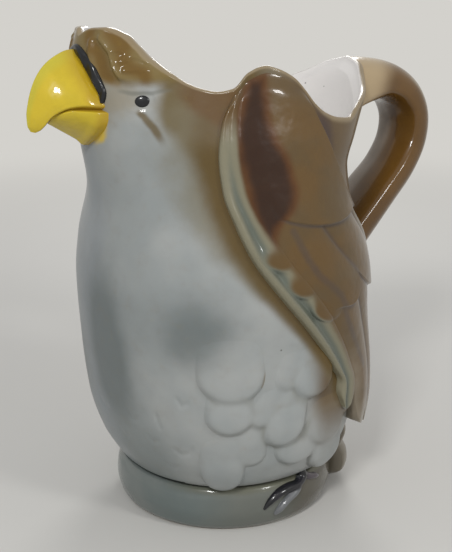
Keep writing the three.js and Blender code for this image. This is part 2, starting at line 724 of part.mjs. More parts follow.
addPiece('body_shell', bodyShell(), '#c3cbcc', 0.18);
addPiece('foot_ring', footRing(), '#8d9391', 0.22);
addPiece('beak_upper', beak(upperBeakShares, [bodyCutter]), '#d9b21c', 0.15);
addPiece('beak_lower', beak(lowerBeakShares, [bodyCutter, upperBeakCutter]), '#cfa31a', 0.15);
addPiece('beak_band', beakBand([upperBeakCutter]), '#20222a', 0.3);
addPair('eye', eye(), '#1d2028', 0.2, [bodyCutter]);
addPair('wing', wing(), '#8a6a45', 0.18);
addPair('leg_feathers', legFeathers(), '#bcc2c0', 0.2);
addPiece('tail', tail([bodyCutter, footCutter]), '#94846c', 0.2);
addPair('foot', foot(), '#34333c', 0.25, [bodyCutter, footCutter]);
addPiece('handle', handle([bodyCutter]), '#a88c63', 0.18);

// The jug's own middle goes over the origin, and its foot stands on the ground.
jug.updateMatrixWorld(true);
const middle = new THREE.Box3().setFromObject(jug, true).getCenter(new THREE.Vector3());
jug.position.x = -middle.x;
jug.updateMatrixWorld(true);

export default jug;
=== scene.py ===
"""The looks of a porcelain water jug in the form of an eagle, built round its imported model.

Sizes are in millimetres and turn into metres where a mesh is made. A place on the jug is given as a
turn and a height: the turn in degrees round the upright axis of the foot, 0 at the beak and rising
towards the eagle's left, which is the side that the camera sees.
"""

import logging
import math
from collections.abc import Sequence
from dataclasses import dataclass
from enum import Enum

import bpy
import numpy as np
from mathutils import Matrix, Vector


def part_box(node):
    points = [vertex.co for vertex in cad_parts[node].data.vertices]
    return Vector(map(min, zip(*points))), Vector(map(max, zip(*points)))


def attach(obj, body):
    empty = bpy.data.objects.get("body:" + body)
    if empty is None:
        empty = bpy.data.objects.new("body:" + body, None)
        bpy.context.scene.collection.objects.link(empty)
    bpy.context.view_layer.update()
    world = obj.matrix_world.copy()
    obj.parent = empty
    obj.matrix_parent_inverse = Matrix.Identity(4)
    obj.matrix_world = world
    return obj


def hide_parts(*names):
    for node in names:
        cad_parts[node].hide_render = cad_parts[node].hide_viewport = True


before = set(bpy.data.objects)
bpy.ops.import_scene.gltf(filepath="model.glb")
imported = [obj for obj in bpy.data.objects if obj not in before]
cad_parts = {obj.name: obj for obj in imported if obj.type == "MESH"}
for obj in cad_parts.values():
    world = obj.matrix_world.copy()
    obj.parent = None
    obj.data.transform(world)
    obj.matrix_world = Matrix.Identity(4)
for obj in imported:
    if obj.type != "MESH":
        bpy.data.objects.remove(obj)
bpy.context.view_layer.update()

MM = 0.001
BODY = "root"
log = logging.getLogger("eagle_jug")

Array = np.ndarray
Span = tuple[float, float]
Spot = tuple[float, float, float, float]
Place = tuple[float, float, float]
Table = Sequence[tuple[float, ...]]
Masks = dict[str, Array]
Socket = bpy.types.NodeSocket
Tree = bpy.types.NodeTree
Piece = bpy.types.Object


class Side(Enum):
    """Which of the eagle's sides a paired piece is on."""

    LEFT = "left"
    RIGHT = "right"


class SmoothCurve:
    """A curve through points [place, value] that never overshoots them."""

    def __init__(self, points: Table) -> None:
        """Works out the slopes.

        Args:
            points: places in rising order, each with its value.
        """
        table = np.array(points, float)
        self.places, self.values = table[:, 0], table[:, 1]
        chords = np.diff(self.values) / np.diff(self.places)
        before, after = chords[:-1], chords[1:]
        total = np.where(before + after == 0, 1, before + after)
        inner = np.where(before * after > 0, 2 * before * after / total, 0)
        self.slopes = np.concatenate([chords[:1], inner, chords[-1:]])

    def __call__(self, x: Array | float) -> Array:
        """The curve's values.

        Args:
            x: places; past the ends the curve stays level.

        Returns:
            The value at each place.
        """
        x = np.asarray(x, float)
        i = np.clip(np.searchsorted(self.places, x, side="right") - 1, 0, len(self.places) - 2)
        run = self.places[i + 1] - self.places[i]
        t = np.clip((x - self.places[i]) / run, 0, 1)
        low, high = self.values[i], self.values[i + 1]
        early, late = self.slopes[i] * run - (high - low), self.slopes[i + 1] * run - (high - low)
        return low + t * (high - low) + t * (1 - t) * ((1 - t) * early - t * late)


def column(table: Table, index: int, size: float, along: float = 1.0) -> SmoothCurve:
    """One column of a table of shares as a curve.

    Args:
        table: rows of shares, with the place first.
        index: which column to read.
        size: the size in millimetres that the column's shares follow.
        along: the size that the places follow.

    Returns:
        The curve in millimetres.
    """
    return SmoothCurve([(row[0] * along, row[index] * size) for row in table])


def stations(table: Table, index: int, size: float = 1.0) -> SmoothCurve:
    """One column of a table of stations, which follow each other in even steps, as a curve.

    Args:
        table: rows of shares.
        index: which column to read.
        size: the size in millimetres that the column's shares follow.

    Returns:
        The curve over places from 0 at the first station to 1 at the last.
    """
    return SmoothCurve([(i / (len(table) - 1), row[index] * size) for i, row in enumerate(table)])


def smoothstep(x: Array | float, low: float, high: float) -> Array:
    """A soft step from 0 at low to 1 at high."""
    t = np.clip((np.asarray(x, float) - low) / (high - low), 0, 1)
    return t * t * (3 - 2 * t)


def falling(x: Array | float, low: float, high: float) -> Array:
    """A soft step from 1 at low to 0 at high."""
    return 1 - smoothstep(x, low, high)


def bell(x: Array, width: Array | float) -> Array:
    """A soft bump that is 1 at 0 and has fallen to a third where x is its width."""
    return np.exp(-((x / width) ** 2))


def quarter_round(t: Array) -> Array:
    """A quarter of a circle, steep at 0 and level at 1."""
    return np.sqrt(t * (2 - t))


def middle_bump(t: Array) -> Array:
    """1 along most of a line from 0 to 1, fading at both ends."""
    return 1 - (2 * t - 1) ** 4


def unit(vectors: Array) -> Array:
    """Vectors of length one in the same directions."""
    return vectors / np.linalg.norm(vectors, axis=-1, keepdims=True)


def lerp(a: Array | float, b: Array | float, t: Array | float) -> Array:
    """The value a share t of the way from a to b."""
    return a + (b - a) * t


def distance_to_path(turn: Array, z: Array, path: Table, degree: float) -> tuple[Array, Array]:
    """How far places on the skin lie from a line drawn on it.

    Args:
        turn: turns from the beak in degrees.
        z: heights.
        path: the line's points, each a turn and a height.
        degree: how many millimetres one degree is there.

    Returns:
        The distance in millimetres, and how far along the line the nearest point is, from 0 to 1.
    """
    nearest = np.full(np.shape(turn), np.inf)
    place = np.zeros(np.shape(turn))
    for i, (start, end) in enumerate(zip(path[:-1], path[1:])):
        run, rise = (end[0] - start[0]) * degree, end[1] - start[1]
        across, up = (turn - start[0]) * degree, z - start[1]
        t = np.clip((across * run + up * rise) / (run * run + rise * rise), 0, 1)
        away = np.hypot(across - t * run, up - t * rise)
        place = np.where(away < nearest, (i + t) / (len(path) - 1), place)
        nearest = np.minimum(nearest, away)
    return nearest, place


def blurred(heights: Array, reach: float) -> Array:
    """Softens a grid of heights.

    Args:
        heights: the heights in rows and columns.
        reach: the blur's standard deviation in steps of the grid.

    Returns:
        The softened heights.
    """
    half = int(3 * reach) + 1
    weights = np.exp(-0.5 * (np.arange(-half, half + 1) / reach) ** 2)
    weights = weights / weights.sum()
    for axis in (0, 1):
        margins = [(half, half) if a == axis else (0, 0) for a in (0, 1)]
        padded, count = np.pad(heights, margins, mode="edge"), heights.shape[axis]
        heights = sum(w * np.take(padded, range(k, k + count), axis) for k, w in enumerate(weights))
    return heights


def catmull_rom(points: Array, t: Array) -> Array:
    """Points on the centripetal curve through some points.

    Args:
        points: the points that the curve passes through, one a row.
        t: shares from 0 to 1, each stretch between two points taking the same share.

    Returns:
        One point a row.
    """
    points = np.asarray(points, float)
    padded = np.vstack([2 * points[0] - points[1], points, 2 * points[-1] - points[-2]])
    place = np.asarray(t, float) * (len(points) - 1)
    i = np.clip(place.astype(int), 0, len(points) - 2)
    w = (place - i)[:, None]
    p0, p1, p2, p3 = (padded[i + k] for k in range(4))
    pairs = ((p0, p1), (p1, p2), (p2, p3))
    d0, d1, d2 = (np.sqrt(np.linalg.norm(b - a, axis=1))[:, None] for a, b in pairs)
    m1 = (p1 - p0) / d0 - (p2 - p0) / (d0 + d1) + (p2 - p1) / d1
    m2 = (p2 - p1) / d1 - (p3 - p1) / (d1 + d2) + (p3 - p2) / d2
    m1, m2 = m1 * d1, m2 * d1
    return p1 + m1 * w + (3 * (p2 - p1) - 2 * m1 - m2) * w**2 + (2 * (p1 - p2) + m1 + m2) * w**3


def even_and_dense(count: int, dense: float = 0.75) -> Array:
    """Shares from 0 to 1 that stand closer together at both ends, by a share dense."""
    u = np.linspace(0, 1, count)
    return lerp(u, 0.5 - 0.5 * np.cos(np.pi * u), dense)


@dataclass
class Skin:
    """The outer skin of the body and head, which every other piece is luted to.

    The tables hold shares: a height of the whole jug's, a reach of the breast's, the back's or the
    side's own, and a head's size of the head's. The turns in them are in degrees from the beak.
    """

    height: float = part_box("body_shell")[1].z / MM
    breast: float = 56.0
    back: float = 49.5
    side: float = 52.0
    wall: float = 3.0
    head_length: float = 47.0
    head_width: float = 46.0
    head_set_back: float = 18.0
    head_blend: float = 14.0
    brow_rise: float = 1.6
    brow_edge: Span = (-2.56, 2.88)
    brow_fade: float = 14.0
    brow_loss: float = 0.6
    brow_front: Span = (5, 10)
    brow_rear: Span = (30, 46)
    socket_depth: float = 1.1
    socket_reach: float = 8.0
    eye_turn: float = 23.0
    eye_height_share: float = 0.871
    plumpness: float = 2.15
    search_step: float = 4.0
    search_halvings: int = 14
    slope_step: float = 0.4
    seat_rounds: int = 14
    seat_pace: float = 0.55
    body_shares: Table = (
        (0.096, 0.714, 0.788, 0.769), (0.124, 0.777, 0.848, 0.837), (0.169, 0.857, 0.909, 0.904),
        (0.253, 0.938, 0.970, 0.962), (0.365, 0.979, 1, 0.981), (0.506, 1, 0.980, 1),
        (0.590, 0.973, 0.929, 0.981), (0.663, 0.911, 0.820, 0.952), (0.730, 0.857, 0.790, 0.923),
        (0.787, 0.821, 0.895, 0.904), (0.843, 0.750, 1.020, 0.865), (0.888, 0.696, 1.111, 0.837),
        (0.927, 0.661, 1.212, 0.808), (1.040, 0.607, 1.333, 0.731),
    )
    head_shares: Table = (
        (0.590, 0.085, 0.087, 1), (0.663, 0.340, 0.435, 1), (0.730, 0.638, 0.739, 0.987),
        (0.787, 0.830, 0.913, 0.961), (0.843, 0.957, 1, 0.947), (0.899, 1, 0.957, 0.947),
        (0.955, 0.979, 0.783, 0.961), (1, 0.851, 0.609, 0.987),
    )
    rim_shares: Table = (
        (0, 0.987), (5, 0.999), (9, 1), (14, 0.989), (19, 0.966), (24, 0.944), (31, 0.921),
        (37, 0.904), (44, 0.893), (51, 0.888), (58, 0.893), (65, 0.921), (73, 0.933), (79, 0.927),
        (87, 0.910), (92, 0.888), (97, 0.862), (103, 0.843), (111, 0.832), (121, 0.828), (130, 0.843),
        (142, 0.862), (152, 0.874), (162, 0.893), (171, 0.915), (180, 0.927),
    )
    brow_shares: Table = (
        (8.5, 0.984), (10.5, 0.973), (12.8, 0.958), (13.9, 0.943), (14.8, 0.930), (17.4, 0.911),
        (21, 0.904), (27, 0.905), (34, 0.914), (45, 0.927),
    )

    def __post_init__(self) -> None:
        """Reads the tables as curves, and works out what the other pieces take from them."""
        self.head_forward = self.breast - self.head_set_back
        self.face_reach = self.head_forward + self.head_length / 2
        self.face_degree = 2 * np.pi * self.face_reach / 360
        self.breast_at = column(self.body_shares, 1, self.breast, self.height)
        self.back_at = column(self.body_shares, 2, self.back, self.height)
        self.side_at = column(self.body_shares, 3, self.side, self.height)
        self.head_length_at = column(self.head_shares, 1, self.head_length / 2, self.height)
        self.head_width_at = column(self.head_shares, 2, self.head_width / 2, self.height)
        self.head_forward_at = column(self.head_shares, 3, self.head_forward, self.height)
        self.rim_at = column(self.rim_shares, 1, self.height)
        self.brow_at = column(self.brow_shares, 1, self.height)
        self.eye_height = self.eye_height_share * self.height

    def outside(self, x: Array, y: Array, z: Array) -> Array:
        """How far points lie outside the plain skin.

        Args:
            x: distance behind the axis.
            y: distance to the eagle's right.
            z: height.

        Returns:
            Millimetres, below zero inside.
        """
        reach = np.where(x < 0, self.breast_at(z), self.back_at(z))
        side = self.side_at(z)
        plump = self.plumpness
        ratio = (np.abs(x / reach) ** plump + np.abs(y / side) ** plump) ** (1 / plump)
        from_body = (ratio - 1) * np.minimum(reach, side)
        start = self.head_shares[0][0] * self.height
        level = np.maximum(z, start)
        length, width = self.head_length_at(level), self.head_width_at(level)
        spread = np.hypot((x + self.head_forward_at(level)) / length, y / width)
        from_head = (spread - 1) * np.minimum(length, width) + np.maximum(start - z, 0)
        overlap = np.maximum(self.head_blend - np.abs(from_body - from_head), 0) / self.head_blend
        return np.minimum(from_body, from_head) - overlap**2 * self.head_blend / 4

    def face_relief(self, turn: Array, z: Array) -> Array:
        """How far the brow stands proud and the eye's socket sinks."""
        away = np.abs(turn)
        above = z - self.brow_at(away)
        across = smoothstep(away, *self.brow_front) * falling(away, *self.brow_rear)
        brow = smoothstep(above, *self.brow_edge)
        brow = brow * (1 - self.brow_loss * smoothstep(above, 0, self.brow_fade))
        aside = (away - self.eye_turn) / self.eye_turn * self.head_width / 2
        from_eye = np.hypot(aside, z - self.eye_height)
        socket = falling(from_eye, 0, self.socket_reach)
        return across * self.brow_rise * brow - self.socket_depth * socket

    def radius(self, turn: Array, z: Array, lift: float = 0.0) -> Array:
        """Distance from the axis to the skin.

        Args:
            turn: turns from the beak in degrees.
            z: heights.
            lift: how far the skin is moved outwards; below zero it is the inside of the wall.

        Returns:
            The distances in millimetres.
        """
        turn, z = np.broadcast_arrays(np.asarray(turn, float), np.asarray(z, float))
        c, s = -np.cos(np.radians(turn)), -np.sin(np.radians(turn))
        radius = np.full(turn.shape, 2 * self.breast)
        step = self.search_step
        while True:
            going = (radius > step) & (self.outside(c * radius, s * radius, z) > lift)
            if not going.any():
                break
            radius = np.where(going, radius - step, radius)
        for _ in range(self.search_halvings):
            step /= 2
            radius = radius + np.where(self.outside(c * radius, s * radius, z) > lift, -step, step)
        return radius if lift < 0 else radius + self.face_relief(turn, z)

    def slope(self, points: Array) -> Array:
        """The outward direction of the skin beside points, which are one a row in the last axis."""
        ahead, behind = (np.stack([
            self.outside(*np.moveaxis(points + step, -1, 0)) for step in way * self.slope_step * np.eye(3)
        ], axis=-1) for way in (1, -1))
        return unit(ahead - behind)

    def point(self, turn: Array, z: Array, rise: Array | float) -> Array:
        """Points of the skin raised square to it.

        Args:
            turn: turns from the beak in degrees.
            z: heights.
            rise: how far each point stands off the skin.

        Returns:
            The points, with x, y and z in the last axis.
        """
        turn, z = np.broadcast_arrays(np.asarray(turn, float), np.asarray(z, float))
        points = radial(turn, self.radius(turn, z), z)
        return points + self.slope(points) * np.asarray(rise, float)[..., None]

    def seated(self, points: Array, depth: float) -> Array:
        """Pushes out what lies deeper than a depth in the wall, so that nothing shows inside the jug.

        Args:
            points: points with x, y and z in the last axis.
            depth: how deep a point may lie under the skin.

        Returns:
            The points. Short steps keep those beside the flaring neck from overshooting.
        """
        for _ in range(self.seat_rounds):
            x, y, z = np.moveaxis(points, -1, 0)
            deeper = np.maximum(-depth - self.outside(x, y, z), 0)
            points = points + self.slope(points) * self.seat_pace * deeper[..., None]
        return points


CAP_SHARES = (0.04, 0.3, 0.6, 0.85)


def capped(rings: Array) -> Array:
    """Adds shrinking rings at both ends, so that an end can follow what it is seated in."""
    shares = np.array(CAP_SHARES)[:, None, None]
    first, last = (lerp(ring.mean(axis=0), ring, shares) for ring in (rings[0], rings[-1]))
    return np.concatenate([first, rings, last[::-1]])


def capped_masks(masks: Masks) -> Masks:
    """The masks of rings, repeated on the shrinking rings at both ends."""
    more = len(CAP_SHARES)
    return {name: np.vstack([m[:1]] * more + [m] + [m[-1:]] * more) for name, m in masks.items()}


def radial(turn: Array, radius: Array, z: Array) -> Array:
    """Points at a turn from the beak, a distance from the axis and a height."""
    turn, radius, z = np.broadcast_arrays(turn, radius, z)
    angle = np.radians(turn)
    return np.stack([-np.cos(angle) * radius, -np.sin(angle) * radius, z], axis=-1)


@dataclass
class Axis:
    """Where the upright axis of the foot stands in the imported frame."""

    foot_forward: float = 1.2

    def __post_init__(self) -> None:
        """Reads the foot ring's place."""
        low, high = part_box("foot_ring")
        self.x = (low.x + high.x) / 2 / MM + self.foot_forward
        self.foot_height = high.z / MM
        self.foot_radius = (high.x - low.x) / 2 / MM


AXIS = Axis()
SKIN = Skin()


def ring_mesh(name: str, rings: Array, masks: Masks, side: Side = Side.LEFT, joined: bool = False) -> Piece:
    """A closed smooth mesh through rings of points.

    Args:
        name: the piece's name.
        rings: points in millimetres, as rings by points by x, y and z.
        masks: for each mask's name one number for each point of the rings.
        side: RIGHT mirrors the mesh to the eagle's right.
        joined: joins the last ring to the first; if not, strips from half to half close both ends.

    Returns:
        The new object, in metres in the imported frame.
    """
    rows, count = rings.shape[:2]
    index = np.arange(rows * count).reshape(rows, count)
    if joined:
        index = np.vstack([index, index[:1]])
    around = np.roll(index, -1, axis=1)
    faces = np.stack([index[:-1], around[:-1], around[1:], index[1:]], axis=-1).reshape(-1, 4)
    if not joined:
        half = np.arange(count // 2 - 1)
        strip = np.stack([half, half + 1, count - 2 - half, count - 1 - half], axis=-1)
        faces = np.vstack([faces, strip[:, ::-1], strip + (rows - 1) * count])
    points = rings.reshape(-1, 3).copy()
    if side is Side.RIGHT:
        points[:, 1] *= -1
    a, b, c, d = np.moveaxis(points[faces], 1, 0)
    if np.sum(a * (np.cross(b, c) + np.cross(c, d))) < 0:
        faces = faces[:, ::-1]
    points[:, 0] += AXIS.x
    mesh = bpy.data.meshes.new(name)
    mesh.from_pydata((points * MM).tolist(), [], faces.tolist())
    for mask, values in masks.items():
        add_mask(mesh, mask, np.broadcast_to(values, (rows, count)))
    mesh.validate()
    mesh.shade_smooth()
    piece = bpy.data.objects.new(name, mesh)
    bpy.context.scene.collection.objects.link(piece)
    return piece


def add_mask(mesh: bpy.types.Mesh, name: str, values: Array) -> None:
    """Gives each point of a mesh a number that the finish reads by name."""
    attribute = mesh.attributes.new(name, "FLOAT", "POINT")
    attribute.data.foreach_set("value", np.ascontiguousarray(values, np.float32).ravel())


def plate_rings(outer: Array, inner: Array) -> Array:
    """Rings that run across a plate's outer face and back along its inner face."""
    return np.concatenate([outer, inner[:, ::-1]], axis=1)


def plate_masks(masks: Masks) -> Masks:
    """The masks of a plate's outer face, repeated on its inner face."""
    return {name: np.concatenate([m, m[:, ::-1]], axis=1) for name, m in masks.items()}


def dress(piece: Piece, glaze: "Glaze", slot: str, *nodes: str) -> None:
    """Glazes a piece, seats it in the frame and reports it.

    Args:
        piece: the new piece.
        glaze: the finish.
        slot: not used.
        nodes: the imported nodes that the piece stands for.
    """
    piece.data.materials.append(glaze.material())
    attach(piece, BODY)
    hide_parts(*nodes)
    log.info("%s: %d faces", piece.name, len(piece.data.polygons))


def linear(colour: str) -> tuple[float, float, float, float]:
    """Turns an sRGB hex value such as #aabbcc to linear red, green, blue and alpha."""
    shares = [int(colour[i:i + 2], 16) / 255 for i in (1, 3, 5)]
    return (*[c / 12.92 if c <= 0.04045 else ((c + 0.055) / 1.055) ** 2.4 for c in shares], 1.0)


def per_mm(size: float) -> float:
    """The texture scale at which one cell of a pattern is that many millimetres."""
    return 1 / (size * MM)


def add_node(tree: Tree, kind: str, settings: dict, links: dict) -> bpy.types.Node:
    """Adds a node.

    Args:
        tree: the node tree.
        kind: the node's type, without the "ShaderNode" that starts each.
        settings: values by the name or number of an input, or by the name of a property.
        links: sockets by the name or number of the input that they lead to.

    Returns:
        The node.
    """
    node = tree.nodes.new("ShaderNode" + kind)
    for key, value in settings.items():
        if isinstance(key, str) and hasattr(node, key):
            setattr(node, key, value)
    for key, value in settings.items():
        if not (isinstance(key, str) and hasattr(node, key)):
            node.inputs[key].default_value = value
    for key, socket in links.items():
        tree.links.new(socket, node.inputs[key])
    return node


@dataclass(frozen=True)
class Tint:
    """A colour that is sprayed or brushed on where a mask says; some tints are painted shade, a painted
    shadow, a painted sheen or a painted dark reflection instead.

    The mask counts from 0 to 1, and its edge wanders by a share ragged, with a pattern whose patches
    are wander millimetres wide.
    """

    mask: str
    colour: str
    strength: float = 1.0
    ragged: float = 0.15
    wander: float = 6.0


@dataclass(frozen=True)
class Glaze:
    """A glazed surface: pale clay under sprayed stain and a clear glaze fired over both.

    The clear glaze gives a sharp, weak reflection over a softer one, so it is a coat over the base.
    Patterns and depths are in millimetres. The specks are larger than real pinholes, so that they show.
    """

    name: str
    base: str
    shade: str
    mottle: float = 24.0
    mottle_share: float = 0.6
    mottle_range: Span = (0.35, 0.68)
    tints: tuple[Tint, ...] = ()
    ior: float = 1.5
    roughness: float = 0.34
    gloss_mask: str = ""
    gloss_roughness: float = 0.2
    specular: float = 0.2
    coat: float = 0.4
    coat_roughness: float = 0.04
    ripple: float = 7.0
    ripple_depth: float = 0.05
    grain: float = 1.1
    grain_depth: float = 0.006
    speck_spacing: float = 10.0
    speck_size: float = 0.42
    speck_colour: str = "#4a463c"
    speck_strength: float = 0.7
    speck_absence: float = 0.72

    def material(self) -> bpy.types.Material:
        """Builds the finish once and gives it back each time.

        Returns:
            The material.
        """
        made = bpy.data.materials.get(self.name)
        if made is not None:
            return made
        made = bpy.data.materials.new(self.name)
        made.use_nodes = True
        tree = made.node_tree
        tree.nodes.clear()
        place = add_node(tree, "TexCoord", {}, {}).outputs["Object"]
        colour = self.mottled(tree, place)
        for tint in self.tints:
            colour = self.tinted(tree, place, colour, tint)
        colour = self.speckled(tree, place, colour)
        shader = add_node(tree, "BsdfPrincipled", {
            "Roughness": self.roughness,
            "IOR": self.ior,
            "Specular IOR Level": self.specular,
            "Coat Weight": self.coat,
            "Coat Roughness": self.coat_roughness,
            "Coat IOR": self.ior,
        }, {"Base Color": colour, "Normal": self.rippled(tree, place)})
        if self.gloss_mask:
            mask = add_node(tree, "Attribute", {"attribute_name": self.gloss_mask}, {})
            gloss = add_node(tree, "MapRange", {
                "To Min": self.roughness, "To Max": self.gloss_roughness}, {"Value": mask.outputs["Fac"]})
            tree.links.new(gloss.outputs["Result"], shader.inputs["Roughness"])
        add_node(tree, "OutputMaterial", {}, {"Surface": shader.outputs["BSDF"]})
        return made

    def mottled(self, tree: Tree, place: Socket) -> Socket:
        """The ground colour, clouded towards its second shade as a sprayed stain is.

        Args:
            tree: the node tree.
            place: the point on the jug.

        Returns:
            The colour.
        """
        cloud = add_node(tree, "TexNoise", {"Scale": per_mm(self.mottle), "Detail": 3.0}, {"Vector": place})
        low, high = self.mottle_range
        share = add_node(tree, "MapRange", {
            "interpolation_type": "SMOOTHSTEP", "From Min": low, "From Max": high,
            "To Max": self.mottle_share,
        }, {"Value": cloud.outputs["Fac"]})
        return mix(tree, share.outputs["Result"], linear(self.base), linear(self.shade))

    def tinted(self, tree: Tree, place: Socket, below: Socket, tint: Tint) -> Socket:
        """Lays one stain, or one patch of painted shade, shadow, sheen or reflection, over the colour below.

        Args:
            tree: the node tree.
            place: the point on the jug.
            below: the colour so far.
            tint: the stain or the painted shade, shadow, sheen or reflection.

        Returns:
            The colour.
        """
        mask = add_node(tree, "Attribute", {"attribute_name": tint.mask}, {})
        drift = add_node(tree, "TexNoise", {"Scale": per_mm(tint.wander), "Detail": 4.0}, {"Vector": place})
        moved = add_node(tree, "Math", {"operation": "MULTIPLY_ADD", 1: tint.ragged},
                         {0: drift.outputs["Fac"], 2: mask.outputs["Fac"]})
        share = add_node(tree, "MapRange", {
            "interpolation_type": "SMOOTHSTEP", "From Min": tint.ragged / 2,
            "From Max": 1 + tint.ragged / 2, "To Max": tint.strength,
        }, {"Value": moved.outputs["Value"]})
        return mix(tree, share.outputs["Result"], below, linear(tint.colour))

    def speckled(self, tree: Tree, place: Socket, below: Socket) -> Socket:
        """Adds the few iron specks that come through a porcelain glaze.

        Args:
            tree: the node tree.
            place: the point on the jug.
            below: the colour so far.

        Returns:
            The colour.
        """
        cells = add_node(tree, "TexVoronoi", {"Scale": per_mm(self.speck_spacing)}, {"Vector": place})
        edge = self.speck_size / self.speck_spacing
        spot = add_node(tree, "MapRange", {
            "From Min": edge, "From Max": edge / 2, "To Max": self.speck_strength,
        }, {"Value": cells.outputs["Distance"]})
        chosen = add_node(tree, "SeparateColor", {}, {"Color": cells.outputs["Color"]})
        rare = add_node(tree, "Math", {"operation": "GREATER_THAN", 1: self.speck_absence},
                        {0: chosen.outputs["Red"]})
        share = add_node(tree, "Math", {"operation": "MULTIPLY"},
                         {0: spot.outputs["Result"], 1: rare.outputs["Value"]})
        return mix(tree, share.outputs["Value"], below, linear(self.speck_colour))

    def rippled(self, tree: Tree, place: Socket) -> Socket:
        """The soft ripple and the fine grain of a dipped glaze.

        Args:
            tree: the node tree.
            place: the point on the jug.

        Returns:
            The normal. A noise fills about half of its range, so a bump's distance is twice its depth.
        """
        links = {}
        for size, depth in ((self.ripple, self.ripple_depth), (self.grain, self.grain_depth)):
            waves = add_node(tree, "TexNoise", {"Scale": per_mm(size), "Detail": 1.5}, {"Vector": place})
            bump = add_node(tree, "Bump", {"Strength": 1.0, "Distance": 2 * depth * MM},
                            {"Height": waves.outputs["Fac"]} | links)
            links = {"Normal": bump.outputs["Normal"]}
        return links["Normal"]


def mix(tree: Tree, share: Socket, below: Socket | Sequence, above: Socket | Sequence) -> Socket:
    """Mixes two colours.

    Args:
        tree: the node tree.
        share: how much of the second colour shows.
        below: the first colour, as a socket or as linear values.
        above: the second colour, as a socket or as linear values.

    Returns:
        The mixed colour.
    """
    settings, links = {"data_type": "RGBA", "clamp_factor": True}, {0: share}
    for number, colour in ((6, below), (7, above)):
        (links if isinstance(colour, Socket) else settings)[number] = colour
    return add_node(tree, "Mix", settings, links).outputs[2]


def seen_directly(tree: Tree) -> Socket:
    """1 for rays from the camera and for those that a gloss or a glass sends on, else 0."""
    ray = add_node(tree, "LightPath", {}, {})
    total = ray.outputs["Is Camera Ray"]
    for other in ("Is Glossy Ray", "Is Transmission Ray"):
        larger = add_node(tree, "Math", {"operation": "MAXIMUM"}, {0: total, 1: ray.outputs[other]})
        total = larger.outputs["Value"]
    return total


# Clear porcelain glaze over sprayed grey and brown stains: satin on the breast, where the reflections are
# broad and faint, and wet and sharp on the crown. White bare glaze inside.
# Painted shade low on the breast, at its front, on the eagle's right and between the leg feathers; painted
# dark reflections on the breast; a painted shadow behind the top of the wing.
BREAST_GLAZE = Glaze(
    "porcelain_breast_glaze", "#a4a6a4", "#8d9393", mottle=34.0, mottle_share=0.75, roughness=0.4,
    gloss_mask="crown", gloss_roughness=0.16, specular=0.15, coat=0.3, coat_roughness=0.05, tints=(
        # Painted shade: darker low on the breast and at its front, and blue-grey on the front and the
        # eagle's right.
        Tint("painted_low_shade", "#787f7e", strength=0.85, ragged=0.3, wander=18.0),
        Tint("painted_blue_shade", "#838a90", strength=0.6, ragged=0.3, wander=20.0),
        # Painted dark reflections of the room, as soft grey patches on the breast.
        Tint("painted_dark_reflection", "#5f6767", strength=0.75, ragged=0.5, wander=14.0),
        Tint("back", "#5e492a", strength=0.95, ragged=0.3, wander=14.0),
        # Painted shade in the low places between the leg feathers.
        Tint("painted_valley_shade", "#82837b", strength=0.6, ragged=0.3, wander=5.0),
        Tint("stain", "#7c6a48", strength=0.55, ragged=0.3, wander=6.0),
        Tint("tan_cheek", "#62522c", strength=0.95, ragged=0.35, wander=6.0),
        Tint("wing_haze", "#77715e", strength=0.8, ragged=0.6, wander=11.0),
        Tint("wing_shadow", "#5a4722", strength=0.93, ragged=0.4, wander=8.0),
        Tint("warm_face", "#8d8066", strength=0.6, ragged=0.5, wander=5.0),
        Tint("streak", "#5c4a20", strength=0.8, ragged=0.3, wander=3.0),
        Tint("nape_brown", "#5c3f14", strength=0.85, ragged=0.5, wander=5.0),
        Tint("crown", "#7a683e", strength=0.97, ragged=0.4, wander=5.0),
        Tint("crown_brown", "#6b5023", strength=0.85, ragged=0.5, wander=4.0),
        Tint("brow_line", "#6b6c64", strength=0.55, ragged=0.4, wander=3.0),
        # A painted shadow on the neck behind the top of the wing.
        Tint("painted_rear_shadow", "#463a38", strength=0.85, ragged=0.3, wander=6.0),
        Tint("beak_paint", "#cdb033", strength=0.9, ragged=0.4, wander=2.0),
        Tint("rim_edge", "#9b8b70", strength=0.7, ragged=0.3, wander=5.0),
        Tint("inside", "#e6e2de", strength=1.0, ragged=0.0),
    ),
)
# The same clear glaze, thicker over one dark grey-green: glossy, with the unglazed clay of the standing rim.
RING_GLAZE = Glaze(
    "porcelain_foot_glaze", "#656e6c", "#767a76", mottle=18.0, roughness=0.26, coat=0.6, tints=(
        Tint("side_stain", "#696960", strength=0.7, ragged=0.4, wander=16.0),
        Tint("tail_stain", "#4e473a", strength=0.8, ragged=0.3, wander=9.0),
        Tint("joint_line", "#646453", strength=0.7, ragged=0.4, wander=5.0),
        Tint("bare_clay", "#d9d2c4", strength=1.0, ragged=0.1, wander=2.0),
    ),
)
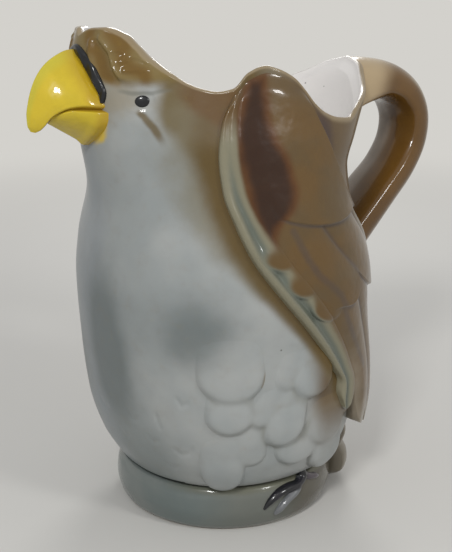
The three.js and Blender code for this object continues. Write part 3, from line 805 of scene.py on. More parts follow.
# Clear glaze over brown stains that were sprayed wet into each other, with painted shade in the creases,
# between the feather tips and under each tier's tips. Its ripple breaks up the highlights.
WING_GLAZE = Glaze(
    "porcelain_wing_glaze", "#634b28", "#5b4a2f", mottle=14.0, mottle_share=0.9, roughness=0.3, coat=0.5,
    coat_roughness=0.03, speck_strength=0.5, ripple=5.0, ripple_depth=0.16, tints=(
        Tint("umber", "#60461c", strength=0.5, ragged=0.6, wander=6.0),
        Tint("shoulder_grey", "#5f4d33", strength=0.75, ragged=0.3, wander=7.0),
        Tint("halo", "#56300a", strength=0.9, ragged=0.6, wander=7.0),
        Tint("dark", "#2b1404", strength=0.95, ragged=0.7, wander=7.0),
        # Painted shade along the crease behind the small feathers, between the feather tips and under each
        # tier's tips.
        Tint("shaded_crease", "#4b403a", strength=0.7, ragged=0.4, wander=4.0),
        Tint("tip_pale", "#8e8677", strength=0.75, ragged=0.4, wander=5.0),
        Tint("strip", "#827e69", strength=0.95, ragged=0.25, wander=6.0),
        Tint("groove", "#5a6158", strength=0.9, ragged=0.15, wander=6.0),
    ),
)
# Clear glaze over a thin grey-brown stain, with painted shade between the ribs, and pale at the tips.
TAIL_GLAZE = Glaze(
    "porcelain_tail_glaze", "#6c6454", "#796a50", mottle=12.0, tints=(
        Tint("rib_shadow", "#4d4539", strength=0.7, ragged=0.25, wander=4.0),
        Tint("tip_pale", "#827b6d", strength=0.7, ragged=0.3, wander=5.0),
    ),
)
# Clear glaze over a warm brown, wiped pale at the root, with a painted sheen along the edges: glossy, with
# long highlights.
HANDLE_GLAZE = Glaze(
    "porcelain_handle_glaze", "#66481f", "#583e1c", mottle=15.0, roughness=0.26, coat=0.55, tints=(
        Tint("root", "#b09b7a", strength=0.95, ragged=0.2, wander=8.0),
        Tint("far_half", "#87796a", strength=0.85, ragged=0.2, wander=6.0),
        Tint("ridge_line", "#4b3216", strength=0.7, ragged=0.35, wander=5.0),
        # A painted sheen along the rounded edges of the outer face.
        Tint("painted_edge_sheen", "#95866a", strength=0.8, ragged=0.25, wander=5.0),
    ),
)
# Opaque yellow overglaze enamel, fired on smooth: even and glossy, with orange where it thickens.
BEAK_ENAMEL = Glaze(
    "yellow_beak_enamel", "#cdb32b", "#bfa826", mottle=7.0, roughness=0.25, coat=0.6, speck_strength=0.0,
    ripple=4.0, ripple_depth=0.14, tints=(
        Tint("culmen", "#bdb43a", strength=0.7, ragged=0.3, wander=5.0),
        Tint("base_orange", "#b08c1e", strength=0.75, ragged=0.35, wander=4.0),
        Tint("mouth", "#8c6a1e", strength=0.85, ragged=0.15, wander=3.0),
    ),
)
# Black overglaze enamel, brushed on thick: deep and wet, with small wavering highlights.
BLACK_ENAMEL = Glaze(
    "black_enamel", "#0e1014", "#1b1d21", mottle=3.0, roughness=0.3, coat=0.6, coat_roughness=0.06,
    ripple=3.0, ripple_depth=0.1, speck_strength=0.0,
)
# The same black enamel on the toes, with one toe left grey and one thin over the brown below.
CLAW_ENAMEL = Glaze(
    "black_claw_enamel", "#121418", "#221f28", mottle=3.0, roughness=0.3, coat=0.8, coat_roughness=0.08,
    ripple=2.0, ripple_depth=0.08, speck_strength=0.0, tints=(
        Tint("grey_toe", "#6c6e70", strength=1.0, ragged=0.2, wander=3.0),
        Tint("side_toe", "#473f45", strength=1.0, ragged=0.2, wander=3.0),
    ),
)


@dataclass
class Lobe:
    """One round feather: where its tip lies, its size, how proud its tip stands and how it leans."""

    turn: float
    z: float
    half_width: float
    length: float
    rise: float
    lean: float = 0.0
    tip_share: float = 0.85
    softer: Span = (0.2, 0.8)
    fading: Span = (0.12, 0.9)

    def height(self, turn: Array, z: Array, degree: float, edge: float, sink: float) -> Array:
        """How far the feather stands off the skin at some places.

        Args:
            turn: turns from the beak.
            z: heights.
            degree: how many millimetres one degree is.
            edge: how wide its rounded lower edge is.
            sink: how deep everything round the feather lies.

        Returns:
            Millimetres, below zero outside the feather.
        """
        v = z - self.z
        u = (turn - self.turn) * degree - self.lean * v
        bulge = self.tip_share * self.half_width
        below = np.maximum(bulge - v, 0) * self.half_width / bulge
        inside = self.half_width - np.hypot(u, below)
        start, end = self.softer
        soft = lerp(edge, self.half_width, smoothstep(v, start * bulge, end * self.length))
        start, end = self.fading
        fade = falling(v, start * self.length, end * self.length)
        return (self.rise + sink) * quarter_round(np.clip(inside / soft, 0, 1)) * fade - sink


@dataclass(frozen=True)
class Tier:
    """A row of feathers across the wing: where it ends, its round tips and its rows of points."""

    end: float
    slant: float
    depth: float
    feathers: float
    shift: float
    clear: float
    rows: int
    roundness: float = 0.6
    clear_more: float = 0.02

    def scallop(self, s: Array) -> Array:
        """The row of tips: 1 at a tip's middle and 0 where two feathers meet."""
        return np.abs(np.sin(np.pi * (s * self.feathers + self.shift))) ** self.roundness

    def reach(self, s: Array) -> Array:
        """How far along the wing the tier ends."""
        clear = smoothstep(s, self.clear, 2 * self.clear + self.clear_more)
        return self.end + self.slant * s + self.depth * (self.scallop(s) - 1) * clear


@dataclass
class Wing:
    """A relief wing: a rolled front edge, a groove behind it and overlapping tiers of feathers.

    A place on the wing is s, from 0 at the front edge to 1 at the rear, and along, from 0 at the
    shoulder to 1 at the tip. Sizes are in millimetres, and all spans without a size are of s or along.
    """

    side: Side
    degree: float = 0.92
    rim_drop: float = 2.4
    sweep: float = 6.0
    edge_rise: float = 3.0
    groove_rise: float = 1.0
    feather_rise: float = 1.9
    feather_step: float = 1.2
    tip_stand_off: float = 3.4
    root_depth: float = 1.4
    edge_sink: float = 0.7
    covert_edge: float = 2.6
    covert_stain_edge: float = 6.0
    step_share: float = 0.007
    shoulder_share: float = 0.25
    crown_share: float = 0.4
    crest_share: float = 0.04
    groove_share: float = 0.095
    feathers_share: float = 0.19
    front_sunk: float = 0.01
    rear_sunk: float = 0.006
    rear_round: float = 0.012
    # How high the relief is in its lowest places, as shares of its full height.
    valley_rise: float = 0.55
    shoulder_edge_rise: float = 0.55
    tip_edge_rise: float = 0.75
    top_rise: float = 0.35
    # Where the relief changes.
    tip_shaped: Span = (0.84, 1)
    swept: Span = (0.88, 1)
    edge_grows: Span = (0.15, 0.5)
    edge_shrinks: Span = (0.5, 1)
    top_grows: Span = (0, 0.05)
    steps_start: Span = (0.22, 0.34)
    stand_off_along: Span = (0.7, 1)
    stand_off_across: Span = (-0.3, 0.7)
    covert_height_covers: Span = (0.02, 0.5)
    covert_roots: Span = (0.18, 0.34)
    # Where the stains and the painted shade lie. The dark patch and its halo are measured in millimetres
    # from their edge.
    dark_heights: Span = (108.5, 163)
    halo_edge: Span = (-3.2, 2.6)
    dark_edge: Span = (-1.0, 5.4)
    crease_width: Span = (0.2, 2.6)
    covert_stain: Span = (0.22, 0.5)
    lower_part: Span = (0.34, 0.44)
    valley_depth: Span = (0.05, 0.6)
    valleys_along: Span = (0.3, 0.42)
    valleys_across: Span = (0.2, 0.3)
    under_tip: Span = (0, 0.06)
    under_across: Span = (0.26, 0.36)
    strip_share: float = 0.125
    strip_ends: Span = (0.18, 0.215)
    strip_along: Span = (0.03, 0.16)
    groove_middle: float = 0.09
    groove_widths: Span = (0.03, 0.042)
    groove_along: Span = (0.05, 0.36)
    umber_across: Span = (0.1, 0.4)
    grey_along: Span = (0, 0.12)
    grey_across: Span = (0.02, 0.2)
    pale_along: Span = (0.7, 0.9)
    pale_across: Span = (0.22, 0.4)
    pale_tip: Span = (0.9, 1)
    front_shares: Table = (
        (0, 58, 0.876), (0.08, 53, 0.826), (0.16, 52, 0.775), (0.26, 53.5, 0.713), (0.36, 58, 0.652),
        (0.46, 64.5, 0.584), (0.57, 74, 0.517), (0.69, 86, 0.444), (0.80, 97, 0.376), (0.90, 106, 0.309),
        (1, 113, 0.242),
    )
    back_shares: Table = (
        (0, 91, 0.888), (0.10, 97, 0.826), (0.20, 103, 0.764), (0.30, 110, 0.702), (0.40, 119, 0.646),
        (0.50, 131, 0.590), (0.60, 144, 0.534), (0.70, 152, 0.455), (0.80, 155, 0.365),
        (0.90, 154, 0.270), (1, 148, 0.158),
    )
    tiers: tuple[Tier, ...] = (
        Tier(end=0.365, slant=0.05, depth=0.045, feathers=1.43, shift=0.614, clear=0.16, rows=60),
        Tier(end=0.66, slant=0.0, depth=0.09, feathers=2.7, shift=0.45, clear=0.2, rows=56),
        Tier(end=1, slant=0.0, depth=0.045, feathers=3.4, shift=0.3, clear=0.1, rows=64),
    )
    tip_drops: Table = (
        (0, 5.5), (0.035, 2.6), (0.09, 1.4), (0.15, 2.8), (0.19, 5.0), (0.24, 0.5), (0.32, -2.2),
        (0.45, -3.4), (0.62, -2), (0.8, 2.5), (1, 11),
    )
    coverts: tuple[Lobe, ...] = (
        Lobe(75.9, 99.6, 6.4, 18, 0.55, -0.45), Lobe(85.6, 89.6, 6.9, 19, 0.55, -0.45),
        Lobe(97.2, 79.8, 7.4, 21, 0.6, -0.35),
    )
    dark_front: Table = (
        (110, 70.5), (112.3, 68.1), (115.9, 65.3), (122.4, 63), (131, 60.5), (143.5, 58.2), (153, 60),
        (161, 63.5),
    )
    dark_rear: Table = (
        (110, 73), (112, 73.5), (116, 76), (121, 80.5), (126, 82.4), (131, 81.4), (138, 78.3), (143, 74.8),
        (150, 72.5), (160, 72.3),
    )
    crease_path: Table = ((80, 113), (86, 103), (91, 97), (101.6, 88.6), (108, 78), (121, 58))
    columns: int = 190
    front_columns: int = 70
    front_part: float = 0.3

    def build(self) -> None:
        """Builds and glazes the wing."""
        front = np.linspace(0.0, self.front_part, self.front_columns)[1:-1]
        s = np.sort(np.concatenate([even_and_dense(self.columns), front]))[None, :]
        tier, share, along = self.rows(s)
        turn, z = self.place(s, along)
        rise = self.rise(s, along, tier, share, self.covert_height(s, turn, z, self.covert_edge))
        outer = SKIN.point(turn, z, rise)
        inner = SKIN.point(turn, z, np.minimum(rise, 0) - self.root_depth)
        masks = plate_masks(self.masks(s + 0 * along, along, turn, z, share, tier))
        piece = ring_mesh(f"wing_relief_{self.side.value}", plate_rings(outer, inner), masks, self.side)
        dress(piece, WING_GLAZE, "wing_glaze", f"wing_{self.side.value}")

    def rows(self, s: Array) -> tuple[Array, Array, Array]:
        """Lays the rows of each tier from where the tier before it ends.

        Args:
            s: the places across the wing.

        Returns:
            For each point its tier, how far down the tier it lies, and how far along the wing.
        """
        tiers, shares, along = [], [], []
        start = np.zeros_like(s)
        for number, tier in enumerate(self.tiers):
            end = tier.reach(s)
            share = even_and_dense(tier.rows)[:, None]
            along.append(lerp(start, end, share))
            shares.append(share + 0 * s)
            tiers.append(np.full(along[-1].shape, number))
            start = end + self.step_share
        return np.vstack(tiers), np.vstack(shares), np.vstack(along)

    def place(self, s: Array, along: Array) -> tuple[Array, Array]:
        """Turns and heights of points of the wing."""
        front_turn, front_z = column(self.front_shares, 1, 1), column(self.front_shares, 2, SKIN.height)
        back_turn, back_z = column(self.back_shares, 1, 1), column(self.back_shares, 2, SKIN.height)
        turn = lerp(front_turn(along), back_turn(along), s)
        z = lerp(front_z(along), back_z(along), s)
        top_turn = lerp(front_turn(0), back_turn(0), s)
        to_rim = SKIN.rim_at(top_turn) - self.rim_drop - lerp(front_z(0), back_z(0), s)
        tip = SmoothCurve(self.tip_drops)(s) * smoothstep(along, *self.tip_shaped)
        turn = turn - self.sweep * (1 - s) ** 2 * smoothstep(along, *self.swept)
        return turn, z + tip + to_rim * falling(along, 0, self.shoulder_share)

    def scallops(self, s: Array, tier: Array) -> Array:
        """How near each point lies to the middle of its feather, from 0 to 1."""
        return np.choose(tier, [each.scallop(s) for each in self.tiers])

    def rise(self, s: Array, along: Array, tier: Array, share: Array, coverts: Array) -> Array:
        """How far points of the wing stand off the skin.

        Args:
            s: places across the wing.
            along: places along it.
            tier: the tiers' numbers.
            share: how far down its tier each point lies.
            coverts: how high the small feathers over the groove are there.

        Returns:
            Millimetres.
        """
        covered = falling(coverts, *self.covert_height_covers)
        bare = falling(s, self.groove_share, self.feathers_share) * covered
        crown = lerp(self.valley_rise, 1, self.scallops(s, tier))
        plain = self.feather_rise * lerp(1, crown, smoothstep(along, self.shoulder_share, self.crown_share))
        raised = plain + self.feather_step * share**2 * smoothstep(s, *self.steps_start) + coverts
        roll = quarter_round(np.clip(s / self.crest_share, 0, 1))
        behind = smoothstep(s, self.crest_share, self.groove_share)
        proud = self.edge_rise * lerp(self.shoulder_edge_rise, 1, smoothstep(along, *self.edge_grows))
        edge = lerp(proud * roll, self.groove_rise, behind)
        edge = edge * lerp(1, self.tip_edge_rise, smoothstep(along, *self.edge_shrinks))
        height = lerp(edge, raised, 1 - bare) * lerp(self.top_rise, 1, smoothstep(along, *self.top_grows))
        stand_off = smoothstep(along, *self.stand_off_along) * smoothstep(s, *self.stand_off_across)
        rear = quarter_round(np.clip((1 - s) / self.rear_round, 0, 1))
        sunk = 2 - np.clip(s / self.front_sunk, 0, 1) - np.clip((1 - s) / self.rear_sunk, 0, 1)
        return (height + self.tip_stand_off * stand_off) * rear - self.edge_sink * sunk

    def covert_height(self, s: Array, turn: Array, z: Array, edge: float) -> Array:
        """The small round feathers whose tips hang over the groove, with edges that wide."""
        heights = [lobe.height(turn, z, self.degree, edge, 0.0) for lobe in self.coverts]
        return np.maximum.reduce(heights) * falling(s, *self.covert_roots)

    def masks(self, s: Array, along: Array, turn: Array, z: Array, share: Array, tier: Array) -> Masks:
        """Where each stain and the painted shade lie on the wing.

        Args:
            s: places across the wing.
            along: places along it.
            turn: turns from the beak.
            z: heights.
            share: how far down its tier each point lies.
            tier: the tiers' numbers.

        Returns:
            The masks by name.
        """
        front, rear = SmoothCurve(self.dark_front)(z), SmoothCurve(self.dark_rear)(z)
        low, high = self.dark_heights
        inside = np.minimum(turn - front, rear - turn) * self.degree
        inside = np.minimum(inside, np.minimum(high - z, z - low))
        shaded_crease, _ = distance_to_path(turn, z, self.crease_path, self.degree)
        lower = smoothstep(along, *self.lower_part)
        painted_valley_shade = falling(self.scallops(s, tier), *self.valley_depth)
        painted_valley_shade = painted_valley_shade * smoothstep(along, *self.valleys_along) * smoothstep(s, *self.valleys_across)
        under = falling(share, *self.under_tip) * (tier > 0) * smoothstep(s, *self.under_across)
        covert_height = self.covert_height(s, turn, z, self.covert_stain_edge)
        coverts = smoothstep(covert_height, *self.covert_stain)
        strip = falling(s, self.strip_share, lerp(*self.strip_ends, lower))
        groove = bell(s - self.groove_middle, lerp(*self.groove_widths, lower))
        behind = smoothstep(along, *self.pale_along) * falling(s, *self.pale_across)
        tips = np.maximum(smoothstep(along, *self.pale_tip), smoothstep(s, *self.pale_tip) * lower)
        return {
            "umber": np.maximum(coverts, 0.4 * falling(np.abs(s - 0.5), *self.umber_across)),
            "shoulder_grey": falling(along, *self.grey_along) * smoothstep(s, *self.grey_across),
            "halo": smoothstep(inside, *self.halo_edge),
            "dark": smoothstep(inside, *self.dark_edge),
            # Painted shade along the crease, between the feather tips and under the tips of each tier.
            "shaded_crease": np.maximum.reduce([
                0.7 * falling(shaded_crease, *self.crease_width), 0.8 * painted_valley_shade, 0.9 * under,
            ]),
            "tip_pale": np.maximum(0.6 * behind, 0.8 * tips),
            "strip": strip * (1 - coverts) * smoothstep(along, *self.strip_along),
            "groove": groove * (1 - coverts) * smoothstep(along, *self.groove_along),
        }


@dataclass
class LegFeathers:
    """The round downy feathers over the leg, between the wing, the breast and the foot ring."""

    side: Side
    degree: float = 0.93
    edge: float = 2.6
    first_turn: float = 34.0
    last_turn: float = 124.0
    bottom_gap: float = 0.7
    top_share: float = 0.5
    root_depth: float = 1.8
    sink: float = 0.5
    softness: float = 0.75
    nearby_steps: float = 9.0
    # Where the painted shade between the feathers lies: how low the place is, and how high the feathers
    # round it stand.
    valley_rise: Span = (0.3, 1.5)
    valley_nearby: Span = (0.5, 1.3)
    lobes: tuple[Lobe, ...] = (
        Lobe(53.5, 17.6, 9.0, 34, 2.3), Lobe(105, 20.4, 9.5, 36, 3.0), Lobe(87, 26.4, 11.5, 22, 2.1),
        Lobe(65.5, 28.8, 6.0, 24, 1.2), Lobe(100, 32.6, 10.5, 26, 3.0, 0.1),
        Lobe(77.0, 36.6, 8.6, 28, 3.0, 0.25), Lobe(56.5, 42.8, 8.8, 26, 2.1),
        Lobe(91.0, 52.5, 9.6, 28, 2.5, 0.1), Lobe(57.5, 54.8, 12.0, 34, 2.0, -0.05),
        Lobe(68.0, 44.5, 4.6, 22, 1.3, 0.3), Lobe(113, 40, 7.5, 20, 1.6), Lobe(80, 57, 6.5, 24, 0.9, 0.1),
    )
    # The brown beside the wing starts further back the lower it lies, by a slant from a level.
    stain_turns: Span = (86, 106)
    stain_level: float = 50.0
    stain_slant: float = 0.35
    stain_rise: Span = (0.8, 2.2)
    stain_strength: float = 0.45
    trickle: Table = ((69.8, 73), (70.9, 67), (68.6, 60.5))
    trickle_width: Span = (0, 1.6)
    trickle_strength: float = 0.8
    columns: int = 270
    row_count: int = 210

    def build(self) -> None:
        """Builds and glazes the leg feathers."""
        turns = np.linspace(self.first_turn, self.last_turn, self.columns)
        bottom = AXIS.foot_height + self.bottom_gap
        turn, z = np.meshgrid(turns, np.linspace(bottom, self.top_share * SKIN.height, self.row_count))
        rise = self.rise(turn, z)
        outer = SKIN.point(turn, z, rise)
        inner = SKIN.point(turn, z, -self.root_depth)
        true_turn = turn if self.side is Side.LEFT else -turn
        nearby = blurred(rise, self.nearby_steps)
        masks = plate_masks(Body().masks(true_turn, z, 0 * z) | {
            # Painted shade in the low places between the feathers.
            "painted_valley_shade": falling(rise, *self.valley_rise) * smoothstep(nearby, *self.valley_nearby),
            "stain": self.stain(turn, z, rise),
        })
        piece = ring_mesh(f"leg_lobes_{self.side.value}", plate_rings(outer, inner), masks, self.side)
        dress(piece, BREAST_GLAZE, "feather_glaze", f"leg_feathers_{self.side.value}")

    def rise(self, turn: Array, z: Array) -> Array:
        """The highest feather at each place, its edges softened as a glaze fills them."""
        heights = [lobe.height(turn, z, self.degree, self.edge, self.sink) for lobe in self.lobes]
        step = (self.last_turn - self.first_turn) / self.columns * self.degree
        return blurred(np.maximum.reduce(heights), self.softness / step)

    def stain(self, turn: Array, z: Array, rise: Array) -> Array:
        """The brown stain that lies in the valleys beside the wing, and one trickle of it."""
        by_wing = smoothstep(turn + (z - self.stain_level) * self.stain_slant, *self.stain_turns)
        by_wing = by_wing * falling(rise, *self.stain_rise)
        trickle, _ = distance_to_path(turn, z, self.trickle, self.degree)
        trickle = falling(trickle, *self.trickle_width)
        return np.maximum(self.stain_strength * by_wing, self.trickle_strength * trickle)


@dataclass
class Body:
    """The hollow body with the neck and head, open from the crown round to the handle.

    Paths and edges are given by turns and heights; those that say so run by height, then turn. Spans of
    turn are in degrees away from the beak, spans of height in millimetres.
    """

    bottom_gap: float = 0.35
    lip_width: float = 1.7
    bevel: float = 3.6
    floor_corner: float = 3.0
    degree: float = 0.95
    face_turn: float = 48.0
    face_columns: int = 130
    back_columns: int = 150
    head_share: float = 0.72
    outer_rows: int = 120
    lip_rows: int = 12
    inner_rows: int = 62
    inner_start: float = 0.8 / 34.2
    corner_rows: int = 7
    bevel_steps: tuple[float, ...] = (0, 0.35, 0.7, 0.95, 1, 1.05, 1.3, 1.8)
    white_from: Span = (0.45, 0.9)
    # Fine relief: ridges on the crown, a line over the eye, the eye's lid and tufts on the breast.
    ridge_height: float = 0.85
    ridge_width: float = 0.95
    ridge_start: Span = (0, 0.12)
    ridge_end: Span = (0.8, 1)
    lid_height: float = 0.15
    lid_reach: float = 3.6
    lid_width: float = 0.8
    lid_stretch: float = 1.25
    line_depth: float = 0.18
    line_width: float = 0.9
    tuft_depth: float = 0.35
    tuft_width: float = 0.9
    ridges: tuple[Table, ...] = (
        ((8.6, 176), (9.6, 174.4), (11.4, 172.5), (13.3, 170.1), (13.9, 167.9), (14.8, 165.8), (17.2, 162.6),
         (21, 161.6)),
        ((13.3, 170.6), (16.1, 171.3), (17.8, 170.1), (17.9, 168), (15.2, 166.9)),
        ((18.5, 169.5), (21.5, 168.8), (25, 167)), ((17.5, 164.8), (21.5, 165.2), (26, 164.6)),
        ((6.2, 175.5), (6.8, 170), (8.4, 165), (9.6, 161.5)),
    )
    brow_line: Table = ((15.5, 158.6), (19.8, 157.5), (25.7, 157.5), (33.5, 158.8))
    tufts: tuple[Table, ...] = (
        ((27.8, 50), (28.6, 46.5), (29.6, 42.6)), ((33, 36.5), (37, 33.5), (40.5, 34.5), (42.5, 38)),
        ((22, 40), (25, 37), (28.5, 38.5)), ((36, 57), (38.5, 53.5), (42, 55)),
        ((14, 47), (17, 44), (20.5, 46)), ((5, 38), (9, 35), (13, 37)), ((-6, 47), (-2, 44), (2, 46)),
        ((-20, 38), (-16, 35), (-12, 37)), ((-34, 46), (-30, 43), (-26, 45)),
        ((-44, 36), (-40, 33), (-36, 35)), ((28, 29), (32, 26.5), (36, 28)),
    )
    # The brown sprayed round the wing's front edge, which runs by height: a dark band and a wider haze.
    front_edge: Table = (
        (43, 110), (55, 105.5), (67, 97), (79, 86), (92, 74), (104, 64.5), (116, 58), (127, 53.5), (138, 52),
        (147, 53), (156, 58),
    )
    spray_start: Span = (44, 60)
    spray_edge: Span = (0.1, 1)
    band_widths: tuple[float, ...] = (8.0, 12.5, 21.0)
    band_lower: Span = (60, 125)
    band_upper: Span = (126, 148)
    haze_widths: Span = (9, 34)
    haze_grows: Span = (80, 140)
    # The head's stains.
    crown_edge: Table = (
        (0, 170), (4, 168), (7, 164.6), (9.4, 161.8), (14.4, 161), (25, 161), (30, 161.7), (46, 163),
    )
    crown_fade: Span = (-3.0, 2.0)
    crown_end: Span = (44, 56)
    crown_line: float = 3.2
    crown_line_width: float = 2.2
    crown_rear: Span = (38, 50)
    nape_line: Table = ((30, 161), (34.1, 159.2), (39.6, 156), (44.9, 153.6), (49.6, 151.8), (53.8, 149.4))
    nape_width: Span = (0, 6)
    nape_from_rim: Span = (2, 10)
    nape_start: Span = (27, 44)
    nape_end: Span = (57, 63)
    tan_edge: Table = ((26, 152.5), (31, 148.5), (37, 144.5), (43, 139.5), (49, 132), (52, 122))
    tan_fade: Span = (-8, 3)
    tan_start: Span = (24, 33)
    tan_end: Span = (56, 62)
    streak: Table = ((20.3, 153.0), (24, 150.2), (27.4, 146.8), (30.4, 142.6), (32.4, 137.5))
    streak_grows: Span = (0.55, 1.15)
    streak_width: Span = (0.2, 2.6)
    streak_start: Span = (0, 0.2)
    streak_end: Span = (0.55, 0.95)
    brow_line_width: Span = (0, 1.3)
    face_spot: Spot = (15, 156, 8.55, 7)
    # The yellow that runs past the beak on the chin; its edge runs by height.
    beak_edge: Table = ((140, 7), (141.5, 9.4), (144, 10.7), (147, 11.5), (150.5, 11.7), (153, 4))
    beak_paint_fade: Span = (-1.6, 2.0)
    beak_paint_start: Span = (138.6, 143.2)
    beak_paint_end: Span = (151, 153)
    # The breast's painted grey shade, which is deeper low down and on the eagle's right, its painted dark
    # reflections, a painted shadow behind the top of the wing, and the brown back.
    lee_heights: Span = (22, 66)
    lee_turns: Span = (22, 52)
    lee_strength: float = 0.75
    blue_front: Span = (-8, 16)
    blue_end: Span = (60, 80)
    # Painted dark reflections on the breast: the turn, height, half width and half height of each.
    dark_spots: tuple[Spot, ...] = (
        (4.0, 80, 10, 20), (8.0, 58, 11, 20), (44.5, 80, 14, 13), (-38, 80, 14, 18), (-24, 55, 11, 18),
    )
    # The painted shadow behind the top of the wing: turn, height, half width and half height.
    rear_spot: Spot = (99.5, 143, 6, 10)
    back_turns: Span = (84, 100)
    back_top_turns: Span = (58, 66)
    back_top_heights: Span = (128, 140)
    back_foot: Span = (20, 60)
    rim_turns: Span = (60, 110)
    rim_start: float = 0.2
    rim_widths: Span = (1.2, 3.0)
    rim_back_turns: Span = (112, 140)
    rim_back_heights: Span = (124, 150)

    def build(self) -> None:
        """Builds and glazes the body."""
        face = np.linspace(0, self.face_turn, self.face_columns)
        half = np.concatenate([face, np.linspace(self.face_turn, 180, self.back_columns)[1:]])
        turns = np.concatenate([half, -half[-2:0:-1]])[None, :]
        bottom = AXIS.foot_height + self.bottom_gap
        rim = SKIN.rim_at(np.abs(turns)) - self.lip_width / 2
        outer = self.outer_rings(turns, bottom, rim)
        lip = self.lip_rings(turns, rim, np.linalg.norm(outer[-1:, :, :2], axis=-1))
        rings = np.concatenate([outer, lip, self.inner_rings(turns, bottom + SKIN.wall, rim)])
        inside = np.ones(rings.shape[:2])
        inside[:len(outer)] = 0
        across = np.linspace(0, 1, self.lip_rows)[1:-1, None]
        inside[len(outer):len(outer) + len(lip)] = smoothstep(across, *self.white_from)
        turn = np.broadcast_to(turns, rings.shape[:2])
        piece = ring_mesh("jug_body", rings, self.masks(turn, rings[..., 2], inside))
        dress(piece, BREAST_GLAZE, "breast_glaze", "body_shell")

    def outer_rings(self, turns: Array, bottom: float, rim: Array) -> Array:
        """The outside, from the underside's edge up to the lip, with closer rows on the head."""
        low = np.linspace(0, self.head_share, self.outer_rows)
        shares = np.concatenate([low, np.linspace(self.head_share, 1, self.outer_rows)[1:]])[:, None]
        z = lerp(bottom + self.lip_width, rim, shares)
        base = radial(turns, SKIN.radius(turns, bottom) - self.lip_width, bottom + 0 * turns)
        return np.concatenate([base, radial(turns, SKIN.radius(turns, z) + self.relief(turns, z), z)])

    def lip_rings(self, turns: Array, rim: Array, outer_radius: Array) -> Array:
        """The rounded lip, between the outside and the inside of the wall."""
        across = np.linspace(0, 1, self.lip_rows)[1:-1, None]
        inner_radius = SKIN.radius(turns, rim, -SKIN.wall) + SKIN.wall - self.lip_width
        radius = lerp(outer_radius, inner_radius, 0.5 - 0.5 * np.cos(np.pi * across))
        return radial(turns, radius, rim + self.lip_width / 2 * np.sin(np.pi * across))

    def inner_rings(self, turns: Array, floor: float, rim: Array) -> Array:
        """The inside, from the bevel under the lip down to the rounded corner of the floor."""
        low = floor + self.floor_corner
        bevelled = np.maximum(rim - np.array(self.bevel_steps)[:, None] * self.bevel, low)
        shares = np.linspace(self.inner_start, 1, self.inner_rows)[:, None]
        z = np.concatenate([bevelled, lerp(rim - self.bevel_steps[-1] * self.bevel, low, shares)])
        thinner = (SKIN.wall - self.lip_width) * np.clip(1 - (rim - z) / self.bevel, 0, 1)
        wall = radial(turns, SKIN.radius(turns, z, -SKIN.wall) + thinner, z)
        angle = np.pi / 2 * np.linspace(0, 1, self.corner_rows)[1:, None]
        corner_z = floor + self.floor_corner * (1 - np.sin(angle))
        inset = self.floor_corner * (1 - np.cos(angle))
        corner = radial(turns, SKIN.radius(turns, corner_z, -SKIN.wall) - inset, corner_z)
        return np.concatenate([wall, corner])

    def relief(self, turn: Array, z: Array) -> Array:
        """The fine relief of the face and breast, on top of the brow and the eye's socket."""
        turn, z = np.broadcast_arrays(turn, z)
        away = np.abs(turn)
        total = np.zeros(away.shape)
        for path in self.ridges:
            reach, place = distance_to_path(away, z, path, self.degree)
            taper = smoothstep(place, *self.ridge_start) * falling(place, *self.ridge_end)
            total = total + self.ridge_height * taper * bell(reach, self.ridge_width)
        reach, place = distance_to_path(away, z, self.brow_line, self.degree)
        total = total - self.line_depth * bell(reach, self.line_width) * middle_bump(place)
        aside = (away - SKIN.eye_turn) * self.degree / self.lid_stretch
        from_eye = np.hypot(aside, z - SKIN.eye_height)
        total = total + self.lid_height * bell(from_eye - self.lid_reach, self.lid_width)
        for path in self.tufts:
            reach, place = distance_to_path(turn, z, path, self.degree)
            total = total - self.tuft_depth * bell(reach, self.tuft_width) * middle_bump(place)
        return total

    def masks(self, turn: Array, z: Array, inside: Array) -> Masks:
        """Where each stain, painted shade and painted reflection lies on the body.

        Args:
            turn: turns from the beak.
            z: heights.
            inside: 1 on the inner side of the wall.

        Returns:
            The masks by name.
        """
        away = np.abs(turn)
        spots = [strength_at(turn, z, spot, self.degree) for spot in self.dark_spots]
        back_top = smoothstep(away, *self.back_top_turns) * smoothstep(z, *self.back_top_heights)
        back = np.maximum(smoothstep(away, *self.back_turns), back_top)
        below_rim = SKIN.rim_at(away) - z
        rim_end = lerp(*self.rim_widths, smoothstep(away, *self.rim_turns))
        rim_edge = falling(below_rim, self.rim_start, rim_end)
        rim_back = smoothstep(away, *self.rim_back_turns) * smoothstep(z, *self.rim_back_heights)
        return {
            "inside": inside,
            # Painted shade, low on the breast and on its front and right side.
            "painted_low_shade": falling(z, *self.lee_heights) * falling(turn, *self.lee_turns) * self.lee_strength,
            "painted_blue_shade": falling(turn, *self.blue_front) * falling(away, *self.blue_end),
            # Painted dark reflections on the breast.
            "painted_dark_reflection": np.clip(sum(spots), 0, 1),
            # The painted shadow behind the top of the wing.
            "painted_rear_shadow": strength_at(away, z, self.rear_spot, self.degree),
            "back": back * smoothstep(z, *self.back_foot),
            "rim_edge": np.maximum(rim_edge, 0.8 * rim_back) * (1 - inside),
        } | self.spray_masks(away, z) | self.head_masks(away, z, below_rim)

    def spray_masks(self, away: Array, z: Array) -> Masks:
        """The brown sprayed in front of the wing."""
        from_wing = np.abs(SmoothCurve(self.front_edge)(z) - away) * self.degree
        narrow, wide, widest = self.band_widths
        band = lerp(narrow, wide, smoothstep(z, *self.band_lower))
        band = lerp(band, widest, smoothstep(z, *self.band_upper))
        haze = lerp(*self.haze_widths, smoothstep(z, *self.haze_grows))
        return {name: falling(from_wing / width, *self.spray_edge) * smoothstep(z, *self.spray_start)
                for name, width in (("wing_shadow", band), ("wing_haze", haze))}

